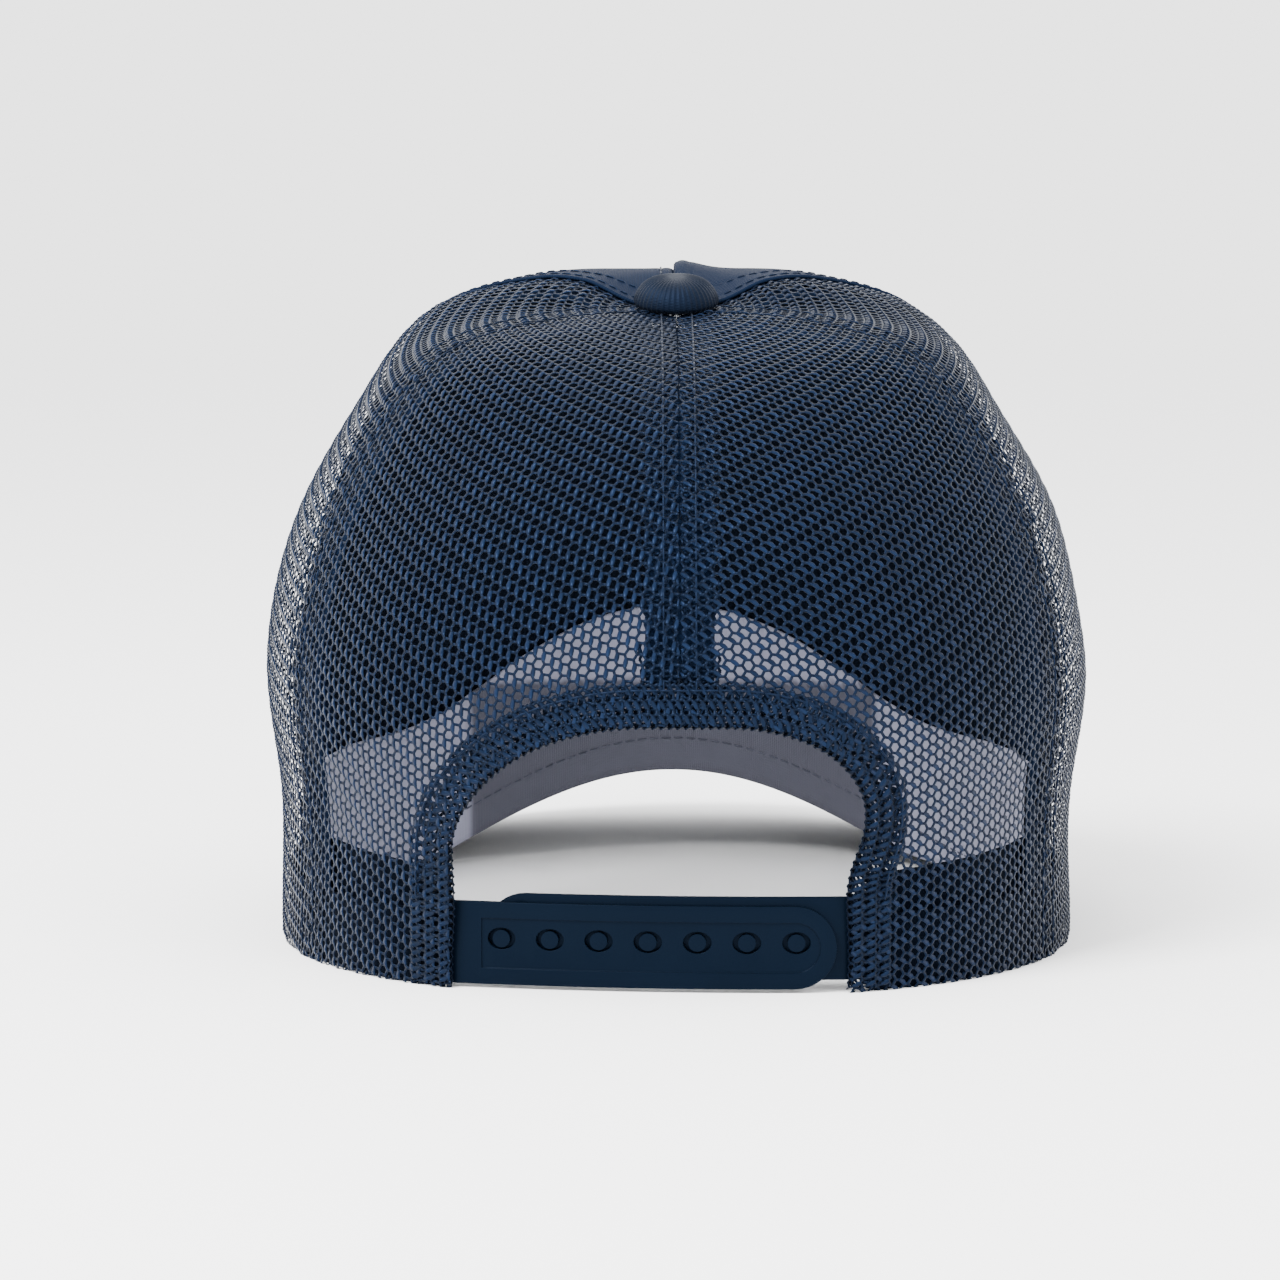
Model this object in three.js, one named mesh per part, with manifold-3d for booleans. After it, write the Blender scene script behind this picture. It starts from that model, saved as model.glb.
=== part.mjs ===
// A trucker mesh cap: two stiffened twill front panels, four mesh panels, a curved visor,
// a covered button and a two-part snap strap under a half-moon opening at the back.
// Millimetres, +Z up. The visor points to -Y and the strap closes at +Y.
// The origin lies on the ground, under the middle of the cap's box. +X is the wearer's left.
import * as THREE from "three";
import { mergeVertices } from "three/addons/utils/BufferGeometryUtils.js";
import Module from "manifold-3d";

const wasm = await Module();
wasm.setup();

// Crown
const crownHalfWidth = 85.4; // at the hem
const crownBack = 95; // button axis to the hem at the back
const crownFront = 103; // button axis to the hem at the front
const crownHeight = 133.5; // at the button
const planExponent = 2.3; // how square the crown is in plan; 2 is an ellipse
const visorRise = 25; // how far a curved visor lifts the hem at the centre front
const visorRiseFocus = 2; // how closely that lift keeps to the middle of the front
const rearSeam = 57; // degrees from the back to the seam between back and side panels
const frontSeam = 115; // degrees from the back to the seam between side and front panels

// Sheet thicknesses and the gap between two layers
const gap = 0.35;
const panelThickness = 1;
const stiffenerThickness = 0.8;
const tapeThickness = 0.6;
const tapeWidth = 13;
const bindingThickness = 0.8;
const sweatbandThickness = 1.2;
const sweatbandFront = 36; // height at the centre front
const sweatbandBack = 22; // height at the opening
const sweatbandJoin = 107; // degrees from the back to the joins of the front section
const sweatbandSetBack = 1.5; // from the edge of the opening to the end of the band

// Half-moon opening, measured across from the centre-back seam and up from the hem
const openingLeft = 44.7;
const openingRight = 36.3;
const openingFootRight = 33; // the right edge comes in again beside the strap
const openingShoulderLeft = 27;
const openingShoulderRight = 36;
const openingFootHeight = 18;
const openingHeight = 53;
const openingFlatLeft = 7;
const openingFlatRight = 9;
const bindingWidth = 9.5;

// Snap strap
const strapHeight = 16.5;
const strapThickness = 1.4;
const strapBottom = 0.8;
const strapRadius = 260; // the bow of the closed strap, in plan
const strapEndGap = 2; // from the round end of the holed strap to the edge of the opening
const peggedLift = 1.6; // the pegged strap sits this much higher
const peggedEndGap = 8; // from its free end to the edge of the opening
const tabLength = 12;
const hingeInset = 1.6; // from the edge of the opening to where a strap bends
const pegCount = 7;
const pegPitch = 9.75;
const firstPeg = 9.9; // from the left edge of the opening
const pegHeight = 10; // above the ground
const pegRadius = 1.75;
const pegProud = 1.2; // how far a peg reaches into and past the sunk floor of the holed strap
const pegPlay = 1.05; // free play along the strap, each side of a peg
const pegClearance = 0.4; // free height above and below a peg
const holeHalfWidth = pegRadius + pegPlay;
const holeHalfHeight = pegRadius + pegClearance;
const recessDepth = 0.4;
const recessHeight = 10;
const recessEnd = 3.2; // rim left round the recess at the round end
const recessStart = 1.2; // from the recess to the first hole
const peggedCorner = 4; // corner radius of the pegged strap's free end

// Visor
const visorLength = 70;
const visorSeam = 105; // degrees from the back to the visor's ends
const visorExponent = 2.6;
const visorDroop = 5; // how far the tip hangs below the seam
const coverThickness = 0.8;
const boardThickness = 1.9;
const edgeWidth = 2.2;
const visorClearance = 0.7; // from the crown to the visor's inner edge

// Button
const buttonRadius = 9;
const buttonHeight = 6.4;
const buttonCoverThickness = 0.7;
const shellThickness = 0.6;
const buttonLift = 1; // from the crown to the rim of the button
const shankRadius = 1.6;
const shankClearance = 1;
const washerRadius = 6;
const washerThickness = 0.8;

// Facets
const shareSteps = 12;
const azimuthStep = 6.5;
const outlineSteps = 8;
const strapStep = 6; // millimetres along a strap
const roundSides = 28;
const holeSides = 16;
const pegSides = 12;
const tabSteps = 4;
const skim = 0.002; // keeps the faces of joined bars from lying in one plane

const radians = THREE.MathUtils.degToRad;
const navy = (lightness) => new THREE.Color().setHSL(0.6, 0.42, lightness);
const material = (color, roughness, metalness = 0) =>
  new THREE.MeshStandardMaterial({ color, roughness, metalness });
const meshFabric = () => material(navy(0.13), 0.75);
const twill = () => material(navy(0.24), 0.85);
const paleCotton = () => material(0xd6d7e2, 0.9);
const tapeCotton = () => material(navy(0.18), 0.85);
const buckram = () => material(0x2a3038, 0.9);
const mouldedPlastic = () => material(navy(0.15), 0.4);
const boardPlastic = () => material(0xe8e8e6, 0.5);
const steel = () => material(0xa8acb0, 0.35, 1);

// ---- The crown's surface ----

// The three meridians from hem to button, as [share of the plan radius, share of the crown height].
const backShape = [[1, 0], [1.01, 0.21], [1.005, 0.435], [0.92, 0.66],
  [0.757, 0.82], [0.567, 0.91], [0.295, 0.963], [0, 1]];
const sideShape = [[1, 0], [0.997, 0.225], [1.034, 0.45], [0.964, 0.66],
  [0.82, 0.84], [0.656, 0.955], [0.363, 0.999], [0, 1]];
const frontShape = [[1, 0], [0.995, 0.22], [0.965, 0.44], [0.885, 0.66],
  [0.757, 0.83], [0.563, 0.975], [0.272, 1.045], [0, 1]];
const lastKnot = backShape.length - 1;

function planRadius(azimuth) {
  const across = Math.abs(Math.sin(azimuth)) / crownHalfWidth;
  const along = Math.abs(Math.cos(azimuth)) / (Math.cos(azimuth) > 0 ? crownBack : crownFront);
  return (across ** planExponent + along ** planExponent) ** (-1 / planExponent);
}

function knot(azimuth, index) {
  const cosine = Math.cos(azimuth);
  const endShape = cosine > 0 ? backShape : frontShape;
  const side = sideShape[index];
  const weight = cosine * cosine;
  const rise = visorRise * weight ** visorRiseFocus * (1 - endShape[index][1]);
  const lift = cosine > 0 ? 0 : Math.max(rise, 0);
  const end = [endShape[index][0], endShape[index][1] * crownHeight + lift];
  const share = side[0] * (1 - weight) + end[0] * weight;
  const height = side[1] * crownHeight * (1 - weight) + end[1] * weight;
  return [share * planRadius(azimuth), height];
}

// A point of the outer surface: azimuth in radians from the back towards +X, share 0 at the hem
// and 1 at the button.
function surfacePoint(azimuth, share) {
  const place = THREE.MathUtils.clamp(share, 0, 1) * lastKnot;
  const first = Math.min(Math.floor(place), lastKnot - 1);
  const t = place - first;
  const knots = [-1, 0, 1, 2].map((step) => {
    const index = first + step;
    if (index > lastKnot) {
      const [radius, height] = knot(azimuth + Math.PI, 2 * lastKnot - index);
      return [-radius, height];
    }
    if (index < 0) {
      const [low, high] = [knot(azimuth, 0), knot(azimuth, 1)];
      return [2 * low[0] - high[0], 2 * low[1] - high[1]];
    }
    return knot(azimuth, index);
  });
  const [radius, height] = [0, 1].map((axis) => {
    const [a, b, c, d] = knots.map((point) => point[axis]);
    return b + 0.5 * t * (c - a + t * (2 * a - 5 * b + 4 * c - d + t * (3 * (b - c) + d - a)));
  });
  return new THREE.Vector3(radius * Math.sin(azimuth), radius * Math.cos(azimuth), height);
}

// The same point sunk below the surface by depth, along the surface's own normal.
function crownPoint(azimuth, share, depth = 0) {
  const step = 0.002;
  const low = Math.min(share, 1 - 2 * step);
  const point = surfacePoint(azimuth, share);
  const up = surfacePoint(azimuth, low + step).sub(surfacePoint(azimuth, low));
  const around = surfacePoint(azimuth + step, low).sub(surfacePoint(azimuth - step, low));
  const normal = around.cross(up).normalize();
  if (share < 2 * step) normal.setZ(0).normalize();
  return point.addScaledVector(normal, depth);
}

function solve(value, target, low, high) {
  const rising = value(high) > value(low);
  for (let turn = 0; turn < 40; turn++) {
    const middle = (low + high) / 2;
    if (value(middle) < target === rising) low = middle;
    else high = middle;
  }
  return (low + high) / 2;
}

const radiusAt = (azimuth, share) => Math.hypot(...surfacePoint(azimuth, share).toArray().slice(0, 2));
const shareAtRadius = (azimuth, radius) =>
  solve((share) => radiusAt(azimuth, share), radius, (lastKnot - 2) / lastKnot, 1);
const shareAtRise = (azimuth, rise) =>
  solve((share) => surfacePoint(azimuth, share).z - surfacePoint(azimuth, 0).z, rise, 0, 0.5);
const azimuthAtX = (x, share, depth = 0) =>
  solve((azimuth) => crownPoint(azimuth, share, depth).x, x, radians(-80), radians(80));

// ---- Solids ----

function solidOf(geometry) {
  const bare = new THREE.BufferGeometry().setAttribute("position", geometry.getAttribute("position"));
  if (geometry.index) bare.setIndex(geometry.index);
  const merged = mergeVertices(bare, 1e-4);
  const triVerts = new Uint32Array(merged.index.array);
  const vertProperties = merged.attributes.position.array;
  return new wasm.Manifold(new wasm.Mesh({ numProp: 3, vertProperties, triVerts }));
}

function geometryOf(solid) {
  const { vertProperties, triVerts } = solid.getMesh();
  return new THREE.BufferGeometry()
    .setAttribute("position", new THREE.BufferAttribute(vertProperties, 3))
    .setIndex(new THREE.BufferAttribute(triVerts, 1));
}

// Joins rings of points, each a closed loop of the same length, into one closed body.
function loft(rings) {
  const count = rings[0].length;
  const positions = rings.flat().flatMap((point) => point.toArray());
  const index = [];
  for (let ring = 0; ring < rings.length - 1; ring++)
    for (let i = 0; i < count; i++) {
      const a = ring * count + i;
      const b = ring * count + ((i + 1) % count);
      index.push(a, b, a + count, b, b + count, a + count);
    }
  const last = (rings.length - 1) * count;
  for (let i = 1; i < count / 2; i++) {
    const [a, b, c, d] = [i - 1, i, count - 1 - i, count - i];
    index.push(a, d, b, b, d, c);
    index.push(last + a, last + b, last + d, last + b, last + c, last + d);
  }
  return facingOut(positions, index);
}

function facingOut(positions, index) {
  const corner = (i) => new THREE.Vector3().fromArray(positions, 3 * index[i]);
  let volume = 0;
  for (let i = 0; i < index.length; i += 3) volume += corner(i).dot(corner(i + 1).cross(corner(i + 2)));
  const turned = volume < 0 ? index.toReversed() : index;
  return new THREE.BufferGeometry()
    .setAttribute("position", new THREE.Float32BufferAttribute(positions, 3))
    .setIndex(turned);
}

// A curved slab: place(u, side) gives a ring's points, u along its columns.
function slab(columns, rows, place) {
  const rings = [];
  for (let column = 0; column <= columns; column++) {
    const outer = [];
    const inner = [];
    for (let row = 0; row <= rows; row++) {
      outer.push(place(column / columns, row / rows, 0));
      inner.unshift(place(column / columns, row / rows, 1));
    }
    rings.push([...outer, ...inner]);
  }
  return loft(rings);
}

// Every layer has its rows at the same shares below its own top, so that the facets stay parallel.
const rowShare = (row, rows, top) => (row === rows ? top : row / shareSteps);

// A piece of the crown between two depths. It runs between two seams, each moved in by a margin in
// millimetres, from the hem up to the share that top gives for each azimuth.
function crownPiece({ from, to, margin = 0, depth, thickness, top }) {
  const columns = Math.max(1, Math.round((to - from) / azimuthStep));
  const tops = [from, (from + to) / 2, to].map((azimuth) => top(radians(azimuth)));
  const rows = Math.ceil(Math.min(...tops) * shareSteps);
  return slab(columns, rows, (across, up, side) => {
    const middle = radians(from + (to - from) * across);
    const share = rowShare(Math.round(up * rows), rows, top(middle));
    const inset = Math.min(margin / radiusAt(middle, share), radians((to - from) / 2));
    const azimuth = THREE.MathUtils.lerp(radians(from) + inset, radians(to) - inset, across);
    return crownPoint(azimuth, share, depth + side * thickness);
  });
}

// A strip of one width along a seam.
function seamStrip({ seam, width, depth, thickness, top }) {
  const middle = radians(seam);
  const rows = Math.ceil(top(middle) * shareSteps);
  return slab(2, rows, (across, up, side) => {
    const share = rowShare(Math.round(up * rows), rows, top(middle));
    const azimuth = middle + ((across - 0.5) * width) / radiusAt(middle, share);
    return crownPoint(azimuth, share, depth + side * thickness);
  });
}

// ---- The opening's outline, seen from behind ----

function openingOutline() {
  const shape = new THREE.Shape();
  const low = -20;
  const pull = 0.55;
  shape.moveTo(-openingFootRight, low);
  shape.lineTo(-openingFootRight, openingFootHeight);
  shape.bezierCurveTo(
    -openingFootRight, openingFootHeight + (openingShoulderRight - openingFootHeight) * pull,
    -openingRight, openingFootHeight + (openingShoulderRight - openingFootHeight) * pull,
    -openingRight, openingShoulderRight);
  shape.bezierCurveTo(
    -openingRight, openingShoulderRight + (openingHeight - openingShoulderRight) * pull,
    -openingFlatRight - (openingRight - openingFlatRight) * pull, openingHeight,
    -openingFlatRight, openingHeight);
  shape.lineTo(openingFlatLeft, openingHeight);
  shape.bezierCurveTo(
    openingFlatLeft + (openingLeft - openingFlatLeft) * pull, openingHeight,
    openingLeft, openingShoulderLeft + (openingHeight - openingShoulderLeft) * pull,
    openingLeft, openingShoulderLeft);
  shape.lineTo(openingLeft, low);
  return shape.getPoints(outlineSteps);
}

// The outline moved out by a distance, as a solid that runs right through the back of the crown.
function openingCutter(distance) {
  const points = openingOutline();
  const moved = points.map((point, i) => {
    const before = points[Math.max(i - 1, 0)];
    const after = points[Math.min(i + 1, points.length - 1)];
    const along = after.clone().sub(before).normalize();
    return new THREE.Vector2(point.x - along.y * distance, point.y + along.x * distance);
  });
  const depth = 2 * crownBack;
  const geometry = new THREE.ExtrudeGeometry(new THREE.Shape(moved), { depth, bevelEnabled: false });
  geometry.rotateX(Math.PI / 2);
  geometry.translate(0, depth + crownBack / 4, 0);
  return solidOf(geometry);
}

// ---- Crown pieces ----

const shankHole = shankRadius + shankClearance;
const stiffenerDepth = panelThickness + gap;
const frontTapeDepth = stiffenerDepth + stiffenerThickness + gap;
const meshTapeDepth = panelThickness + gap;
const tabDepth = meshTapeDepth + bindingThickness + gap;
const sweatbandDepth = tabDepth + strapThickness + gap;
const seamSpacing = Math.min(rearSeam, frontSeam - rearSeam, 180 - frontSeam);
const tapeTopRadius = (tapeWidth + 2 * gap) / (2 * Math.sin(radians(seamSpacing / 2)));

const toButton = (azimuth) => shareAtRadius(azimuth, shankHole);
const toTapeEnd = (azimuth) => shareAtRadius(azimuth, tapeTopRadius);

const panel = (from, to) =>
  crownPiece({ from, to, margin: gap / 2, depth: 0, thickness: panelThickness, top: toButton });

function stiffener(from, to) {
  const margin = gap + tapeThickness;
  return crownPiece({
    from, to, margin, depth: stiffenerDepth, thickness: stiffenerThickness, top: toButton,
  });
}

const seamTape = (seam, depth) =>
  seamStrip({ seam, width: tapeWidth, depth, thickness: tapeThickness, top: toTapeEnd });

function backPanel(from, to) {
  return geometryOf(solidOf(panel(from, to)).subtract(openingCutter(0)));
}

function backTape() {
  return geometryOf(solidOf(seamTape(0, meshTapeDepth)).subtract(openingCutter(bindingWidth + gap)));
}

function openingBinding() {
  const bandTop = shareAtRise(0, openingHeight + 2 * bindingWidth);
  const shell = crownPiece({
    from: -rearSeam, to: rearSeam, margin: tapeWidth / 2 + gap, depth: meshTapeDepth,
    thickness: bindingThickness, top: () => bandTop,
  });
  const band = solidOf(shell).intersect(openingCutter(bindingWidth)).subtract(openingCutter(0));
  return geometryOf(band);
}

function sweatband(from, to) {
  const piece = crownPiece({
    from, to, margin: gap / 2, depth: sweatbandDepth, thickness: sweatbandThickness,
    top: (azimuth) => {
      const front = (1 - Math.cos(azimuth)) / 2;
      return shareAtRise(azimuth, sweatbandBack + (sweatbandFront - sweatbandBack) * front);
    },
  });
  return geometryOf(solidOf(piece).subtract(openingCutter(sweatbandSetBack)));
}

// ---- Visor ----

const visorEnd = crownPoint(radians(visorSeam), 0, -visorClearance);
const visorTip = crownPoint(Math.PI, 0, -visorClearance).y - visorLength;
const visorReach = 0.99; // share of the half width where the rim ends

// The point of the hem that the visor meets at one place across the cap.
function seamFor(x) {
  const span = radians(182 - visorSeam);
  const azimuth = solve((angle) => crownPoint(angle, 0, -visorClearance).x, x, Math.PI - span, Math.PI + span);
  return crownPoint(azimuth, 0, -visorClearance);
}

const rimFlat = 0.65; // how much of the rim's width is flat underneath

// The ends of the rim rest on the ground.
const visorBase = seamFor(visorReach * (visorEnd.x - edgeWidth * (1 - rimFlat))).z;

// A point of the visor: across -1 to 1 along the seam, forward 0 at the crown and 1 at the rim, on an
// outline moved in by inset.
function visorPoint(across, forward, height, inset) {
  const x = across * (visorEnd.x - inset);
  const seam = seamFor(x);
  const rim = visorEnd.y + (visorTip + inset - visorEnd.y)
    * (1 - Math.abs(across) ** visorExponent) ** (1 / visorExponent);
  const y = THREE.MathUtils.lerp(seam.y, Math.min(rim, seam.y - edgeWidth), forward);
  const out = THREE.MathUtils.clamp((seam.y - y) / visorLength, 0, 1);
  const droop = visorDroop * out ** 1.5 * (1 - across * across);
  return new THREE.Vector3(x, y, seam.z - visorBase - droop + height);
}

const visorColumns = 28;
const visorRows = 5;
const visorAcross = (u) => visorReach * Math.sin((u - 0.5) * Math.PI);

// One layer of the visor, which stops short of the edge binding.
function visorLayer(bottom, thickness) {
  return slab(visorColumns, visorRows, (u, forward, side) =>
    visorPoint(visorAcross(u), forward, bottom + side * thickness, edgeWidth + gap));
}

// The rolled edge, a six-sided section carried round the visor's rim.
function visorEdge() {
  const height = 2 * coverThickness + boardThickness + 2 * gap;
  const section = [[0, 0], [rimFlat, 0], [1, 0.3], [1, 0.7], [rimFlat, 1], [0, 1]];
  const rings = [];
  for (let column = 0; column <= visorColumns; column++)
    rings.push(section.map(([out, up]) =>
      visorPoint(visorAcross(column / visorColumns), 1, up * height, edgeWidth * (1 - out))));
  return loft(rings);
}

// ---- Button ----

const lathe = (profile) =>
  new THREE.LatheGeometry(profile.map(([x, y]) => new THREE.Vector2(x, y)), 24).rotateX(Math.PI / 2);

// A squat dome's outer profile from its rim up to the axis.
function domeProfile(radius, height) {
  const points = [];
  for (let step = 0; step <= 6; step++) {
    const angle = (step / 6) * (Math.PI / 2);
    points.push([radius * Math.cos(angle) ** 0.6, height * (0.18 + 0.82 * Math.sin(angle) ** 1.2)]);
  }
  points[points.length - 1][0] = 0;
  return points;
}

function dome(radius, height, thickness, lift) {
  const outer = domeProfile(radius, height);
  const inner = domeProfile(radius - thickness, height - thickness).reverse();
  return lathe([[radius - thickness, 0], [radius, 0], ...outer, ...inner, [radius - thickness, 0]])
    .translate(0, 0, lift);
}

function shank(bottom, top) {
  return lathe([[0, bottom], [shankRadius, bottom], [shankRadius, top], [0, top]]);
}

const washer = () =>
  lathe([[shankHole, 0], [washerRadius, 0], [washerRadius, washerThickness],
    [shankHole, washerThickness], [shankHole, 0]]);

// ---- Snap strap ----

// A circle in plan through two points, bowed towards +Y, and its angle at each.
function planArc(left, right) {
  const chord = new THREE.Vector2(left.x - right.x, left.y - right.y);
  const middle = new THREE.Vector2((left.x + right.x) / 2, (left.y + right.y) / 2);
  const back = Math.sqrt(strapRadius ** 2 - chord.lengthSq() / 4);
  const inward = new THREE.Vector2(chord.y, -chord.x).normalize();
  const centre = middle.addScaledVector(inward, back);
  const angleOf = (point) => Math.atan2(point.x - centre.x, point.y - centre.y);
  return { centre, left: angleOf(left), right: angleOf(right) };
}

const strapShare = 0.06;
const backPoint = (x, depth) => crownPoint(azimuthAtX(x, strapShare, depth), strapShare, depth);
const leftEdge = backPoint(openingLeft, sweatbandDepth - gap / 2);
const rightEdge = backPoint(-openingFootRight, tabDepth - gap / 2);
const seat = planArc(leftEdge, rightEdge);
const angleFor = (length) => length / strapRadius;

const onArc = (angle, offset, z) => {
  const radius = strapRadius + offset;
  return new THREE.Vector3(
    seat.centre.x + radius * Math.sin(angle), seat.centre.y + radius * Math.cos(angle), z);
};

// A bent bar between two angles, from offset to offset + thickness outside the meeting face.
function bentBar(from, to, offset, thickness, bottom, top) {
  const columns = Math.max(2, Math.round((Math.abs(to - from) * strapRadius) / strapStep));
  const rings = [];
  for (let column = 0; column <= columns; column++) {
    const angle = THREE.MathUtils.lerp(from, to, column / columns);
    rings.push([onArc(angle, offset, bottom), onArc(angle, offset + thickness, bottom),
      onArc(angle, offset + thickness, top), onArc(angle, offset, top)]);
  }
  return solidOf(loft(rings));
}

// A round or oval pin across the strap at one angle.
function pin(angle, z, halfWidth, halfHeight, from, to, sides) {
  const geometry = new THREE.CylinderGeometry(1, 1, to - from, sides);
  geometry.scale(halfWidth, 1, halfHeight);
  geometry.rotateZ(-angle);
  const place = onArc(angle, (from + to) / 2, z);
  geometry.translate(place.x, place.y, place.z);
  return solidOf(geometry);
}

// A strap blank seen from behind: square at the root, round at the free end.
function strapBlank(rootAngle, endAngle, bottom, height, offset, thickness, round) {
  const direction = Math.sign(endAngle - rootAngle);
  const centreAngle = endAngle - direction * angleFor(round);
  const bar = bentBar(rootAngle, centreAngle, offset, thickness, bottom, bottom + height);
  const end = pin(centreAngle, bottom + height / 2, round, height / 2,
    offset + skim, offset + thickness - skim, roundSides);
  return bar.add(end);
}

const hingeLeft = seat.left - angleFor(hingeInset);
const hingeRight = seat.right + angleFor(hingeInset);
const outward = gap / 2;
const inward = -gap / 2 - strapThickness;
const holedEnd = seat.right + angleFor(strapEndGap);
const peggedEnd = seat.left - angleFor(peggedEndGap);
const pegAngles = Array.from({ length: pegCount }, (_, i) =>
  seat.left - angleFor(firstPeg + i * pegPitch));

// A rounded root, so that the strap turns about it without meeting its tab.
const knuckle = (angle, offset, bottom, height) => {
  const geometry = new THREE.CylinderGeometry(strapThickness / 2, strapThickness / 2, height, pegSides);
  geometry.rotateX(Math.PI / 2);
  const place = onArc(angle, offset + strapThickness / 2, bottom + height / 2);
  geometry.translate(place.x, place.y, place.z);
  return solidOf(geometry);
};

function holedStrap() {
  const top = strapBottom + strapHeight;
  let strap = strapBlank(hingeLeft, holedEnd, strapBottom, strapHeight, outward, strapThickness,
    strapHeight / 2).add(knuckle(hingeLeft, outward, strapBottom, strapHeight));
  const floor = outward + strapThickness - recessDepth;
  const start = pegAngles[0] + angleFor(holeHalfWidth + recessStart);
  const end = holedEnd + angleFor(recessEnd);
  const recess = strapBlank(start, end, (strapBottom + top - recessHeight) / 2, recessHeight, floor,
    strapThickness, recessHeight / 2);
  strap = strap.subtract(recess);
  for (const angle of pegAngles)
    strap = strap.subtract(pin(angle, pegHeight, holeHalfWidth, holeHalfHeight,
      outward - gap, outward + strapThickness + gap, holeSides));
  return geometryOf(strap);
}

function peggedStrap() {
  const bottom = strapBottom + peggedLift;
  let strap = strapBlank(hingeRight, peggedEnd, bottom, strapHeight, inward, strapThickness,
    peggedCorner)
    .add(knuckle(hingeRight, inward, bottom, strapHeight));
  for (const angle of pegAngles)
    strap = strap.add(pin(angle, pegHeight, pegRadius, pegRadius,
      inward + strapThickness / 2, outward + pegProud, pegSides));
  return geometryOf(strap);
}

// The sewn-in end of a strap, between the binding and the sweatband.
function strapTab(hinge, side, offset, bottom) {
  const start = hinge + side * angleFor(strapThickness / 2 + gap);
  const end = hinge + side * angleFor(hingeInset + tabLength);
  const reach = Math.abs(end - start) * strapRadius;
  const atHinge = onArc(start, offset + strapThickness / 2, 0);
  const wall = azimuthAtX(onArc(end, 0, 0).x, strapShare);
  const rings = [];
  for (let step = 0; step <= tabSteps; step++) {
    const t = step / tabSteps;
    const azimuth = THREE.MathUtils.lerp(azimuthAtX(atHinge.x, strapShare), wall, t);
    const along = (depth, z) => {
      const share = shareAtRise(azimuth, z);
      return crownPoint(azimuth, share, depth).setZ(z);
    };
    const face = (z) => [along(tabDepth + strapThickness, z), along(tabDepth, z)];
    const free = (z) => [onArc(THREE.MathUtils.lerp(start, end, t), offset, z),
      onArc(THREE.MathUtils.lerp(start, end, t), offset + strapThickness, z)];
    const blend = Math.min(1, (t * reach) / hingeInset / 2);
    const mix = (z) => face(z).map((point, i) => free(z)[i].lerp(point, blend));
    const low = mix(bottom);
    const high = mix(bottom + strapHeight);
    rings.push([low[0], low[1], high[1], high[0]]);
  }
  return loft(rings);
}

// ---- Assembly ----

const cap = new THREE.Group();

function place(parent, name, geometry, finish) {
  const mesh = new THREE.Mesh(geometry, finish);
  mesh.name = name;
  parent.add(mesh);
  return mesh;
}

place(cap, "front_panel_left", panel(frontSeam, 180), twill());
place(cap, "front_panel_right", panel(-180, -frontSeam), twill());
place(cap, "front_stiffener_left", stiffener(frontSeam, 180), buckram());
place(cap, "front_stiffener_right", stiffener(-180, -frontSeam), buckram());
place(cap, "side_mesh_left", panel(rearSeam, frontSeam), meshFabric());
place(cap, "side_mesh_right", panel(-frontSeam, -rearSeam), meshFabric());
place(cap, "back_mesh_left", backPanel(0, rearSeam), meshFabric());
place(cap, "back_mesh_right", backPanel(-rearSeam, 0), meshFabric());

place(cap, "seam_tape_front_centre", seamTape(180, frontTapeDepth), tapeCotton());
place(cap, "seam_tape_front_left", seamTape(frontSeam, frontTapeDepth), tapeCotton());
place(cap, "seam_tape_front_right", seamTape(-frontSeam, frontTapeDepth), tapeCotton());
place(cap, "seam_tape_rear_left", seamTape(rearSeam, meshTapeDepth), tapeCotton());
place(cap, "seam_tape_rear_right", seamTape(-rearSeam, meshTapeDepth), tapeCotton());
place(cap, "seam_tape_back_centre", backTape(), tapeCotton());
place(cap, "opening_binding", openingBinding(), meshFabric());

place(cap, "sweatband_front", sweatband(sweatbandJoin, 360 - sweatbandJoin), paleCotton());
place(cap, "sweatband_left", sweatband(0, sweatbandJoin), tapeCotton());
place(cap, "sweatband_right", sweatband(-sweatbandJoin, 0), tapeCotton());

place(cap, "visor_under_cover", visorLayer(0, coverThickness), twill());
place(cap, "visor_board", visorLayer(coverThickness + gap, boardThickness), boardPlastic());
place(cap, "visor_top_cover",
  visorLayer(coverThickness + boardThickness + 2 * gap, coverThickness), twill());
place(cap, "visor_edge_binding", visorEdge(), twill());

// The button sits square to the crown, which leans back where it is fixed.
const button = new THREE.Group();
const leanStep = 0.3 / lastKnot;
const leanRun = surfacePoint(Math.PI, 1 - leanStep).sub(surfacePoint(0, 1 - leanStep));
button.position.copy(surfacePoint(0, 1));
button.rotation.x = Math.atan2(leanRun.z, leanRun.y) - Math.PI;
const buttonSeat = buttonLift;
const washerDrop = panelThickness + gap + stiffenerThickness + 2 * gap + washerThickness;
place(button, "button_cover", dome(buttonRadius, buttonHeight, buttonCoverThickness, buttonSeat), twill());
place(button, "button_shell", dome(buttonRadius - buttonCoverThickness - gap,
  buttonHeight - buttonCoverThickness - gap, shellThickness, buttonSeat), steel());
place(button, "button_shank", shank(-washerDrop,
  buttonSeat + buttonHeight - buttonCoverThickness - shellThickness - 2 * gap), steel());
place(button, "button_washer", washer().translate(0, 0, -washerDrop), steel());
cap.add(button);

place(cap, "holed_strap", holedStrap(), mouldedPlastic());
place(cap, "pegged_strap", peggedStrap(), mouldedPlastic());
place(cap, "holed_strap_tab", strapTab(hingeLeft, 1, outward, strapBottom), mouldedPlastic());
place(cap, "pegged_strap_tab",
  strapTab(hingeRight, -1, inward, strapBottom + peggedLift), mouldedPlastic());

// Stand the cap on the ground with the origin under the middle of its box.
const box = new THREE.Box3().setFromObject(cap, true);
const middle = box.getCenter(new THREE.Vector3());
cap.position.set(-middle.x, -middle.y, -box.min.z);

export default cap;
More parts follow.
